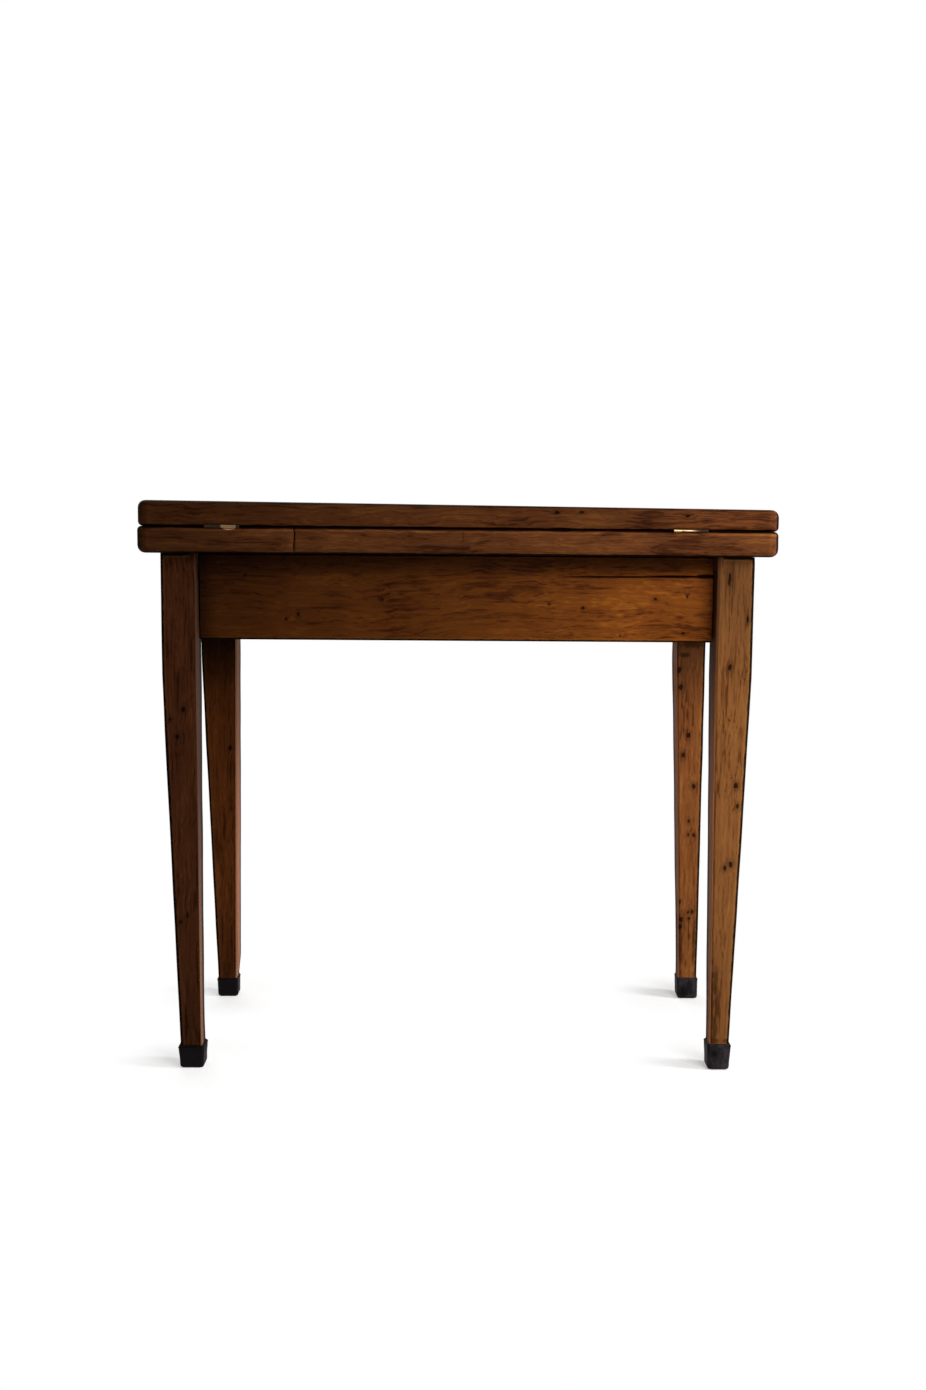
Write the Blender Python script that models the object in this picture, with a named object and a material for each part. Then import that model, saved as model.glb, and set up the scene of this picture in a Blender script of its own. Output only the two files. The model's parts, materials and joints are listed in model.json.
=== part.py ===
"""Fold over card table, in metres, with +Z up.

The origin is on the floor under the middle of the closed table. +X runs along the
table to the right as one faces its hinged edge, and +Y runs away from that edge.
The frame stands still. The top turns a quarter turn on its pivot bolt, and the upper
leaf then folds over on two brass butt hinges to lie beside the lower one.
"""

import math

import bmesh
import bpy
from mathutils import Vector

# Fits
FIT_GAP = 0.0003
CUT_OVERRUN = 0.002
MERGE_DISTANCE = 0.000001

# Leaves: the old planed boards are thinner at their right end
TOP_WIDTH = 0.840
LEAF_DEPTH = 0.420
LOWER_LEAF_LEFT = 0.0351
LOWER_LEAF_RIGHT = 0.0332
UPPER_LEAF_LEFT = 0.0333
UPPER_LEAF_RIGHT = 0.0281
OUTER_EDGE_RADIUS = 0.010
PLAN_CORNER_RADIUS = 0.014

# Playing cloth let into each leaf
CLOTH_BORDER = 0.045
CLOTH_HINGE_BORDER = 0.026
CLOTH_THICKNESS = 0.0012

# Frame
FRAME_HEIGHT = 0.7050
END_OVERHANG = 0.027
EDGE_OVERHANG = 0.027
RAIL_HEIGHT = 0.1154
RAIL_THICKNESS = 0.018
LONG_RAIL_SETBACK = 0.025
SHORT_RAIL_SETBACK = 0.010
TENON_THICKNESS = 0.008
TENON_LENGTH = 0.022
TENON_SHOULDER = 0.012
ARRIS = 0.001

# Legs: square to a little below the rails, then tapered
LEG_SIDE = 0.048
LEG_DEPTH = 0.047
TOE_SIDE = 0.0255
KNEE_DROP = 0.045
BACK_RIGHT_LEG_INSET = 0.008

# Foot caps
CAP_HEIGHT = 0.030
CAP_WALL = 0.0017
CAP_FLOOR = 0.004
CAP_LIP = 0.0008
CAP_LIP_HEIGHT = 0.005
CAP_CORNER_RADIUS = 0.0028

# Butt hinges in the seam
HINGE_LENGTH = 0.045
HINGE_LEAF_WIDTH = 0.018
HINGE_LEAF_THICKNESS = 0.0012
HINGE_LEFT_INSET = 0.112
HINGE_RIGHT_INSET = 0.117
HINGE_AXIS_LEAD = 0.0002
BARREL_RADIUS = 0.0020
HINGE_PIN_RADIUS = 0.0010
KNUCKLE_EASE = 0.0001

# Screws
HINGE_SCREW_LENGTH = 0.014
HINGE_SCREW_RADIUS = 0.0012
HINGE_SCREW_HEAD_RADIUS = 0.0024
HINGE_SCREW_HEAD_HEIGHT = 0.0010
WOOD_SCREW_LENGTH = 0.025
PLATE_SCREW_LENGTH = 0.016
WOOD_SCREW_RADIUS = 0.00175
WOOD_SCREW_HEAD_RADIUS = 0.0034
WOOD_SCREW_HEAD_HEIGHT = 0.002
SCREW_SLOT_WIDTH = 0.0005
SCREW_SLOT_DEPTH = 0.0005
SCREW_POINT = 0.003

# Pivot
PIVOT_PLATE_SIDE = 0.060
PIVOT_PLATE_THICKNESS = 0.003
PLATE_SCREW_INSET = 0.009
BOLT_RADIUS = 0.005
BOLT_HEAD_RADIUS = 0.009
BOLT_HEAD_HEIGHT = 0.003
BOLT_END = 0.003
WASHER_RADIUS = 0.012
WASHER_THICKNESS = 0.002
NUT_RADIUS = 0.0098
NUT_HEIGHT = 0.008
BEARER_THICKNESS = 0.022
BEARER_SHOULDER = 0.005
BEARER_TENON = 0.009
STOP_PEG_RADIUS = 0.004
STOP_PEG_REACH = 0.060
STOP_PEG_SEAT = 0.012
STOP_PEG_DROP = 0.018

# Card well under the top
BATTEN_SIDE = 0.015
BATTEN_RISE = 0.004
BATTEN_END_GAP = 0.010
WELL_BOARD_THICKNESS = 0.008
WELL_BOARD_GAP = 0.0006

# Each leg was planed by hand, so these shares of the sizes above differ from leg to leg, in this order
leg_names = ("front_left", "front_right", "back_left", "back_right")
leg_side_shares = (0.96, 1.03, 1.12, 0.95)
toe_side_shares = (1.10, 1.01, 1.09, 1.10)
outer_taper_shares = (1.0, 0.69, 0.80, 0.0)
rear_taper_share = 0.5

# The caps' heights differ too, in the same order
cap_height_shares = (1.07, 1.235, 1.02, 1.15)

# Where the screws stand, as shares of a hinge's length and width and of a batten's half length
hinge_screw_shares = ((-0.32, 0.56), (0.0, 0.72), (0.32, 0.56))
batten_screw_shares = (-0.76, 0.0, 0.76)

# Counts, and the angles in degrees past which an edge is eased or shaded sharp
well_board_count = 3
round_sides = 16
screw_sides = 12
corner_steps = 3
leaf_edge_steps = 4
eased_angle = 40
sharp_angle = 35
level_cosine = 0.9

# Places worked out from the sizes above
HINGE_PROJECTION = BARREL_RADIUS + HINGE_AXIS_LEAD
LEAF_FRONT_Y = (HINGE_PROJECTION - LEAF_DEPTH) / 2
LEAF_BACK_Y = LEAF_FRONT_Y + LEAF_DEPTH
HINGE_Y = LEAF_FRONT_Y - HINGE_AXIS_LEAD
LEAF_BASE_Z = FRAME_HEIGHT + FIT_GAP
SEAM_Z = LEAF_BASE_Z + (LOWER_LEAF_LEFT + LOWER_LEAF_RIGHT + FIT_GAP) / 2
SEAM_TILT = math.atan2(LOWER_LEAF_LEFT - LOWER_LEAF_RIGHT, TOP_WIDTH)
HINGE_LEFT_X = HINGE_LEFT_INSET - TOP_WIDTH / 2
HINGE_RIGHT_X = TOP_WIDTH / 2 - HINGE_RIGHT_INSET
# The rounded edges at the seam leave the hinge barrels just enough room
SEAM_EDGE_RADIUS = (BARREL_RADIUS + FIT_GAP) / (math.sqrt(2) - 1)

LEG_OUTER_X = TOP_WIDTH / 2 - END_OVERHANG
LEG_FRONT_Y = LEAF_FRONT_Y + EDGE_OVERHANG
LEG_BACK_Y = LEAF_BACK_Y - EDGE_OVERHANG
RAIL_BOTTOM_Z = FRAME_HEIGHT - RAIL_HEIGHT
KNEE_Z = RAIL_BOTTOM_Z - KNEE_DROP
FRONT_RAIL_Y = LEG_FRONT_Y + LONG_RAIL_SETBACK
FRONT_RAIL_INNER_Y = FRONT_RAIL_Y + RAIL_THICKNESS
BACK_RAIL_Y = LEG_BACK_Y - LONG_RAIL_SETBACK
BACK_RAIL_INNER_Y = BACK_RAIL_Y - RAIL_THICKNESS
SHORT_RAIL_X = LEG_OUTER_X - SHORT_RAIL_SETBACK
SHORT_RAIL_INNER_X = SHORT_RAIL_X - RAIL_THICKNESS

# A quarter turn about this point brings the middle of the fold over the middle of the frame
PIVOT_OFFSET = (LEAF_DEPTH / 2 + HINGE_AXIS_LEAD) / 2
PIVOT_X = -PIVOT_OFFSET
PIVOT_Y = HINGE_Y + PIVOT_OFFSET
# The stop peg meets the front rail when the top is closed, and the bearer after its quarter turn
STOP_PEG_OFFSET = PIVOT_Y - FRONT_RAIL_INNER_Y - STOP_PEG_RADIUS - FIT_GAP
BEARER_HALF_WIDTH = STOP_PEG_OFFSET - STOP_PEG_RADIUS - FIT_GAP
BATTEN_Z = RAIL_BOTTOM_Z + BATTEN_RISE
WELL_FLOOR_Z = BATTEN_Z + BATTEN_SIDE + FIT_GAP


def remove_everything():
    for old in list(bpy.data.objects):
        bpy.data.objects.remove(old, do_unlink=True)


def look(name, colour, roughness, metallic=0.0):
    material = bpy.data.materials.new(name)
    material.use_nodes = True
    shader = material.node_tree.nodes["Principled BSDF"]
    shader.inputs["Base Color"].default_value = (*colour, 1.0)
    shader.inputs["Roughness"].default_value = roughness
    shader.inputs["Metallic"].default_value = metallic
    return material


def empty(name, parent=None, location=(0, 0, 0), tilt=0.0):
    holder = bpy.data.objects.new(name, None)
    bpy.context.scene.collection.objects.link(holder)
    holder.parent = parent
    holder.location = location
    holder.rotation_euler = (0, tilt, 0)
    return holder


def add_object(name, shape, material, parent=None, location=(0, 0, 0)):
    """Turns a bmesh into a named object, seen from its parent's frame."""
    bmesh.ops.recalc_face_normals(shape, faces=shape.faces)
    mesh = bpy.data.meshes.new(name)
    shape.to_mesh(mesh)
    shape.free()
    mesh.materials.append(material)
    piece = bpy.data.objects.new(name, mesh)
    bpy.context.scene.collection.objects.link(piece)
    piece.parent = parent
    piece.location = location
    return piece


def shade_round(piece):
    piece.data.shade_smooth()
    piece.data.set_sharp_from_angle(angle=math.radians(sharp_angle))
    return piece


def as_cutter(piece):
    piece.hide_render = True
    piece.display_type = "WIRE"
    return piece


def boolean(target, tool, operation="DIFFERENCE"):
    modifier = target.modifiers.new(tool.name, "BOOLEAN")
    modifier.operation = operation
    modifier.solver = "EXACT"
    modifier.object = tool


def ease_edges(piece, width):
    modifier = piece.modifiers.new("eased edges", "BEVEL")
    modifier.width = width
    modifier.segments = 1
    modifier.limit_method = "ANGLE"
    modifier.angle_limit = math.radians(eased_angle)


def block(name, low, high, material, parent=None):
    """A box between two corners, with its origin at its middle."""
    low, high = Vector(low), Vector(high)
    shape = bmesh.new()
    bmesh.ops.create_cube(shape, size=1)
    bmesh.ops.scale(shape, vec=high - low, verts=shape.verts)
    return add_object(name, shape, material, parent, (low + high) / 2)


def rectangle(extents_a, extents_b, radius):
    """The corners of a rectangle in order, or short arcs in their place where it has a radius."""
    corners = ((0, 0), (1, 0), (1, 1), (0, 1))
    points = []
    for turn, (far_a, far_b) in enumerate(corners):
        a = extents_a[far_a] + (radius if far_a == 0 else -radius)
        b = extents_b[far_b] + (radius if far_b == 0 else -radius)
        for step in range(corner_steps + 1 if radius else 1):
            angle = math.pi + (turn + step / corner_steps) * math.pi / 2
            points.append((a + radius * math.cos(angle), b + radius * math.sin(angle)))
    return points


def lofted(name, axis, stations, material, origin, parent=None, radius=0.0):
    """Rectangles at stations along an axis, joined in order: (place, (low, high), (low, high))."""
    shape = bmesh.new()
    rings = []
    for place, extents_a, extents_b in stations:
        ring = []
        for a, b in rectangle(extents_a, extents_b, radius):
            point = {"X": (place, a, b), "Y": (a, place, b), "Z": (a, b, place)}[axis]
            ring.append(shape.verts.new(Vector(point) - Vector(origin)))
        rings.append(ring)
    count = len(rings[0])
    for ring, following in zip(rings, rings[1:]):
        for corner in range(count):
            beside = (corner + 1) % count
            shape.faces.new((ring[corner], ring[beside], following[beside], following[corner]))
    shape.faces.new(rings[0])
    shape.faces.new(rings[-1])
    return add_object(name, shape, material, parent, origin)


def turned(name, outline, material, parent=None, location=(0, 0, 0), turn=(0, 0, 0), sides=round_sides):
    """Spins an outline of (radius, height) points about +Z; one that stays off the axis is closed."""
    shape = bmesh.new()
    points = [shape.verts.new((radius, 0, height)) for radius, height in outline]
    following = points[1:] + points[:1] if outline[0][0] else points[1:]
    edges = [shape.edges.new(pair) for pair in zip(points, following)]
    bmesh.ops.spin(shape, geom=points + edges, cent=(0, 0, 0), axis=(0, 0, 1),
                   angle=math.tau, steps=sides, use_merge=True)
    bmesh.ops.remove_doubles(shape, verts=shape.verts, dist=MERGE_DISTANCE)
    piece = add_object(name, shape, material, parent, location)
    piece.rotation_euler = turn
    return shade_round(piece)


def rod_outline(radius, low, high, bore=0.0):
    return ((bore, low), (radius, low), (radius, high), (bore, high))


def screw(name, sizes, material, holders, parent=None, location=(0, 0, 0), turn=(0, 0, 0)):
    """A slotted countersunk screw with its head at the origin and its point down -Z."""
    length, radius, head_radius, head_height = sizes
    outline = ((0, -length), (radius, SCREW_POINT - length), (radius, -head_height), (head_radius, 0), (0, 0))
    piece = turned(name, outline, material, parent, location, turn, screw_sides)
    slot = block("cut_slot_" + name, (-head_radius - CUT_OVERRUN, -SCREW_SLOT_WIDTH / 2, -SCREW_SLOT_DEPTH),
                 (head_radius + CUT_OVERRUN, SCREW_SLOT_WIDTH / 2, CUT_OVERRUN), material, piece)
    boolean(piece, as_cutter(slot))
    hole_radius = radius + FIT_GAP
    sink_radius = head_radius + FIT_GAP
    mouth_radius = sink_radius + (head_radius - radius) * CUT_OVERRUN / head_height
    outline = ((0, -length - FIT_GAP), (hole_radius, -length - FIT_GAP), (hole_radius, -head_height),
               (mouth_radius, CUT_OVERRUN), (0, CUT_OVERRUN))
    hole = turned("cut_hole_" + name, outline, material, parent, location, turn, screw_sides)
    as_cutter(hole)
    for holder in holders:
        boolean(holder, hole)
    return piece


def leg_sign(leg):
    """Which way the leg lies from the middle of the table, along X and Y."""
    end, side = leg.split("_")
    return (1 if side == "right" else -1), (1 if end == "back" else -1)


def leg_section(leg, z):
    """The leg's extents along X and Y at a height."""
    sign_x, sign_y = leg_sign(leg)
    number = leg_names.index(leg)
    side = LEG_SIDE * leg_side_shares[number]
    toe = TOE_SIDE * toe_side_shares[number]
    fall = max(0.0, (KNEE_Z - z) / (KNEE_Z - CAP_FLOOR - FIT_GAP))
    inset = BACK_RIGHT_LEG_INSET if leg == "back_right" else 0.0
    outer_x = LEG_OUTER_X - inset - (side - toe) * outer_taper_shares[number] * fall
    inner_x = outer_x - side + (side - toe) * fall
    outer_y = (LEG_BACK_Y if sign_y > 0 else -LEG_FRONT_Y) - (LEG_DEPTH - toe) * rear_taper_share * fall
    inner_y = outer_y - LEG_DEPTH + (LEG_DEPTH - toe) * fall
    return (tuple(sorted((sign_x * outer_x, sign_x * inner_x))),
            tuple(sorted((sign_y * outer_y, sign_y * inner_y))))


def inner_face_x(leg):
    """Where the leg's inner face lies along X, above its taper."""
    return min(leg_section(leg, FRAME_HEIGHT)[0], key=abs)


def widened(extents, amount):
    return extents[0] - amount, extents[1] + amount


def centred(middle, width):
    return middle - width / 2, middle + width / 2


def build_leg(leg, wood):
    knee = leg_section(leg, KNEE_Z)
    toe_z = CAP_FLOOR + FIT_GAP
    toe = leg_section(leg, toe_z)
    origin = (sum(toe[0]) / 2, sum(toe[1]) / 2, toe_z)
    stations = ((toe_z, *toe), (KNEE_Z, *knee), (FRAME_HEIGHT, *knee))
    return lofted("leg_" + leg, "Z", stations, wood, origin, radius=ARRIS)


def build_foot_cap(leg, rubber):
    """A rubber cup pushed over the toe, with a rolled lip and a solid floor."""
    def around(z, extra):
        along_x, along_y = leg_section(leg, z)
        return z, widened(along_x, extra), widened(along_y, extra)

    wall = FIT_GAP + CAP_WALL
    height = CAP_HEIGHT * cap_height_shares[leg_names.index(leg)]
    toe = leg_section(leg, 0)
    origin = (sum(toe[0]) / 2, sum(toe[1]) / 2, 0)
    stations = (around(0, wall - CAP_WALL), around(CAP_WALL, wall), around(height - CAP_LIP_HEIGHT, wall),
                around(height - CAP_LIP_HEIGHT / 2, wall + CAP_LIP), around(height, wall))
    piece = lofted("foot_cap_" + leg, "Z", stations, rubber, origin, radius=CAP_CORNER_RADIUS)
    socket = lofted("cut_socket_" + leg, "Z", (around(CAP_FLOOR, FIT_GAP), around(height + CUT_OVERRUN, FIT_GAP)),
                    rubber, origin)
    boolean(piece, as_cutter(socket))
    return piece


def build_rail(name, axis, span, across, ends, wood):
    """A board on edge with a tenon at each end; ends are the legs that it is jointed into."""
    high = (RAIL_BOTTOM_Z, FRAME_HEIGHT)
    tenon_high = (RAIL_BOTTOM_Z + TENON_SHOULDER, FRAME_HEIGHT - TENON_SHOULDER)
    tenon_across = centred(sum(across) / 2, TENON_THICKNESS)
    low, far = span[0] + FIT_GAP, span[1] - FIT_GAP
    stations = ((low - TENON_LENGTH, tenon_across, tenon_high), (low, tenon_across, tenon_high),
                (low, across, high), (far, across, high),
                (far, tenon_across, tenon_high), (far + TENON_LENGTH, tenon_across, tenon_high))
    middle = ((low + far) / 2, sum(across) / 2, RAIL_BOTTOM_Z)
    origin = middle if axis == "X" else (middle[1], middle[0], middle[2])
    piece = lofted(name, axis, stations, wood, origin, radius=ARRIS)
    for leg, shoulder, outward in ((ends[0], span[0], -1), (ends[1], span[1], 1)):
        mouth = shoulder - outward * CUT_OVERRUN
        bottom = shoulder + outward * (TENON_LENGTH + FIT_GAP)
        along = tuple(sorted((mouth, bottom)))
        stations = ((along[0], widened(tenon_across, FIT_GAP), widened(tenon_high, FIT_GAP)),
                    (along[1], widened(tenon_across, FIT_GAP), widened(tenon_high, FIT_GAP)))
        mortise = lofted("cut_mortise_" + name + "_" + leg.name, axis, stations, wood, origin)
        boolean(leg, as_cutter(mortise))
    return piece


def build_bearer(front_rail, back_rail, wood):
    """The cross rail that carries the pivot, stub tenoned into the long rails."""
    across = (PIVOT_X - BEARER_HALF_WIDTH, PIVOT_X + BEARER_HALF_WIDTH)
    high = (FRAME_HEIGHT - BEARER_THICKNESS, FRAME_HEIGHT)
    tenon_across = widened(across, -BEARER_SHOULDER)
    tenon_high = widened(high, -BEARER_SHOULDER)
    low, far = FRONT_RAIL_INNER_Y + FIT_GAP, BACK_RAIL_INNER_Y - FIT_GAP
    origin = (PIVOT_X, PIVOT_Y, FRAME_HEIGHT)
    stations = ((low - BEARER_TENON, tenon_across, tenon_high), (low, tenon_across, tenon_high),
                (low, across, high), (far, across, high),
                (far, tenon_across, tenon_high), (far + BEARER_TENON, tenon_across, tenon_high))
    piece = lofted("pivot_bearer", "Y", stations, wood, origin, radius=ARRIS)
    for rail, face, outward in ((front_rail, FRONT_RAIL_INNER_Y, -1), (back_rail, BACK_RAIL_INNER_Y, 1)):
        along = sorted((face - outward * CUT_OVERRUN, face + outward * (BEARER_TENON + FIT_GAP)))
        stations = [(y, widened(tenon_across, FIT_GAP), widened(tenon_high, FIT_GAP)) for y in along]
        boolean(rail, as_cutter(lofted("cut_bearer_mortise_" + rail.name, "Y", stations, wood, origin)))
    bore = turned("cut_pivot_bore", rod_outline(BOLT_RADIUS + FIT_GAP, -BEARER_THICKNESS - CUT_OVERRUN, CUT_OVERRUN),
                  wood, location=origin)
    boolean(piece, as_cutter(bore))
    return piece


def build_well(front_rail, back_rail, wood, steel):
    """Two screwed battens and the loose boards that lie on them."""
    reach = min(abs(inner_face_x(leg)) for leg in leg_names) - BATTEN_END_GAP
    sizes = (WOOD_SCREW_LENGTH, WOOD_SCREW_RADIUS, WOOD_SCREW_HEAD_RADIUS, WOOD_SCREW_HEAD_HEIGHT)
    for end, rail, face, inward in (("front", front_rail, FRONT_RAIL_INNER_Y, 1),
                                    ("back", back_rail, BACK_RAIL_INNER_Y, -1)):
        near, far = face + inward * FIT_GAP, face + inward * (FIT_GAP + BATTEN_SIDE)
        batten = block("well_batten_" + end, (-reach, min(near, far), BATTEN_Z),
                       (reach, max(near, far), BATTEN_Z + BATTEN_SIDE), wood)
        ease_edges(batten, ARRIS)
        for number, share in enumerate(batten_screw_shares, start=1):
            place = (share * reach, far, BATTEN_Z + BATTEN_SIDE / 2)
            screw(f"batten_screw_{end}_{number}", sizes, steel, (batten, rail), location=place,
                  turn=(-inward * math.pi / 2, 0, 0))
    low_y, high_y = FRONT_RAIL_INNER_Y + FIT_GAP, BACK_RAIL_INNER_Y - FIT_GAP
    pitch = (high_y - low_y + WELL_BOARD_GAP) / well_board_count
    end_x = SHORT_RAIL_INNER_X - FIT_GAP
    corners = []
    for leg in leg_names:
        along_x, along_y = leg_section(leg, FRAME_HEIGHT)
        corners.append(as_cutter(block(
            "cut_well_corner_" + leg,
            (along_x[0] - FIT_GAP, along_y[0] - FIT_GAP, WELL_FLOOR_Z - CUT_OVERRUN),
            (along_x[1] + FIT_GAP, along_y[1] + FIT_GAP, WELL_FLOOR_Z + WELL_BOARD_THICKNESS + CUT_OVERRUN), wood)))
    for number in range(well_board_count):
        start = low_y + number * pitch
        board = block(f"well_board_{number + 1}", (-end_x, start, WELL_FLOOR_Z),
                      (end_x, start + pitch - WELL_BOARD_GAP, WELL_FLOOR_Z + WELL_BOARD_THICKNESS), wood)
        if number in (0, well_board_count - 1):
            for corner in corners:
                boolean(board, corner)


def build_leaf(name, base_z, front_y, left, right, low_radius, high_radius, wood, parent, offset):
    """A wedge shaped board with rounded edges; its underside lies at base_z in its parent's frame."""
    shape = bmesh.new()
    bmesh.ops.create_cube(shape, size=1)
    for vertex in shape.verts:
        at_left = vertex.co.x < 0
        at_top = vertex.co.z > 0
        vertex.co.x *= TOP_WIDTH
        vertex.co.y = front_y + (vertex.co.y > 0) * LEAF_DEPTH
        vertex.co.z = base_z + at_top * (left if at_left else right)
    upright = [edge for edge in shape.edges if abs(edge.verts[0].co.x - edge.verts[1].co.x) < MERGE_DISTANCE
               and abs(edge.verts[0].co.y - edge.verts[1].co.y) < MERGE_DISTANCE]
    bmesh.ops.bevel(shape, geom=upright, offset=PLAN_CORNER_RADIUS, segments=leaf_edge_steps, profile=0.5,
                    affect="EDGES", clamp_overlap=True)
    for radius, way in ((low_radius, -1), (high_radius, 1)):
        shape.normal_update()
        rim = [edge for edge in shape.edges
               if sorted(face.normal.z * way > level_cosine for face in edge.link_faces) == [False, True]]
        bmesh.ops.bevel(shape, geom=rim, offset=radius, segments=leaf_edge_steps, profile=0.5,
                        affect="EDGES", clamp_overlap=True)
    for vertex in shape.verts:
        vertex.co += Vector(offset)
    return shade_round(add_object(name, shape, wood, parent))


def build_cloth(name, leaf, side, cloth, parent):
    """The baize panel let in flush with the leaf's inner face; side is -1 below the seam, 1 above."""
    face = side * FIT_GAP / 2
    back = face + side * CLOTH_THICKNESS
    low = (CLOTH_BORDER - TOP_WIDTH / 2, HINGE_AXIS_LEAD + CLOTH_HINGE_BORDER)
    high = (TOP_WIDTH / 2 - CLOTH_BORDER, HINGE_AXIS_LEAD + LEAF_DEPTH - CLOTH_BORDER)
    piece = block(name, (*low, min(face, back)), (*high, max(face, back)), cloth, parent)
    bottom = back + side * FIT_GAP
    mouth = face - side * CUT_OVERRUN
    recess = block("cut_" + name, (low[0] - FIT_GAP, low[1] - FIT_GAP, min(bottom, mouth)),
                   (high[0] + FIT_GAP, high[1] + FIT_GAP, max(bottom, mouth)), cloth, parent)
    boolean(leaf, as_cutter(recess))
    return piece


def build_hinge_half(name, x, leaf, side, knuckles, others, brass, parent):
    """One flap of a butt hinge with its knuckles, its recess in the leaf and its three screws."""
    face = side * FIT_GAP / 2
    back = face + side * HINGE_LEAF_THICKNESS
    bore = HINGE_PIN_RADIUS + FIT_GAP
    root = (bore + BARREL_RADIUS) / 2
    half = HINGE_LENGTH / 2
    flap = block(name, (x - half, root, min(face, back)), (x + half, HINGE_LEAF_WIDTH, max(face, back)), brass, parent)
    for number, (start, end) in enumerate(others, start=1):
        low = start - CUT_OVERRUN if start <= -half else start - FIT_GAP / 2
        high = end + CUT_OVERRUN if end >= half else end + FIT_GAP / 2
        notch = block(f"cut_notch_{name}_{number}", (x + low, -CUT_OVERRUN, -BARREL_RADIUS),
                      (x + high, BARREL_RADIUS + FIT_GAP, BARREL_RADIUS), brass, parent)
        boolean(flap, as_cutter(notch))
    for number, (start, end) in enumerate(knuckles, start=1):
        low = start + KNUCKLE_EASE if start <= -half else start + FIT_GAP / 2 + KNUCKLE_EASE
        high = end - KNUCKLE_EASE if end >= half else end - FIT_GAP / 2 - KNUCKLE_EASE
        knuckle = turned(f"join_knuckle_{name}_{number}", rod_outline(BARREL_RADIUS, low, high, bore), brass,
                         parent, (x, 0, 0), (0, math.pi / 2, 0))
        boolean(flap, as_cutter(knuckle), "UNION")
    bottom = back + side * FIT_GAP
    mouth = face - side * CUT_OVERRUN
    recess = block("cut_recess_" + name, (x - half - FIT_GAP, -CUT_OVERRUN, min(bottom, mouth)),
                   (x + half + FIT_GAP, HINGE_LEAF_WIDTH + FIT_GAP, max(bottom, mouth)), brass, parent)
    boolean(leaf, as_cutter(recess))
    sizes = (HINGE_SCREW_LENGTH, HINGE_SCREW_RADIUS, HINGE_SCREW_HEAD_RADIUS, HINGE_SCREW_HEAD_HEIGHT)
    for number, (along, across) in enumerate(hinge_screw_shares, start=1):
        place = (x + along * HINGE_LENGTH, across * HINGE_LEAF_WIDTH, face)
        screw(f"{name}_screw_{number}", sizes, brass, (flap, leaf), parent, place,
              (math.pi if side > 0 else 0, 0, 0))
    return flap


def build_hinges(lower_leaf, upper_leaf, brass, seam, fold):
    third = HINGE_LENGTH / 3
    ends = ((-HINGE_LENGTH / 2, -third / 2), (third / 2, HINGE_LENGTH / 2))
    middle = ((-third / 2, third / 2),)
    for side, x in (("left", HINGE_LEFT_X), ("right", HINGE_RIGHT_X)):
        build_hinge_half(f"hinge_{side}_lower", x, lower_leaf, -1, ends, middle, brass, seam)
        build_hinge_half(f"hinge_{side}_upper", x, upper_leaf, 1, middle, ends, brass, fold)
        turned(f"hinge_{side}_pin", rod_outline(HINGE_PIN_RADIUS, -HINGE_LENGTH / 2, HINGE_LENGTH / 2), brass,
               seam, (x, 0, 0), (0, math.pi / 2, 0))


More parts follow.
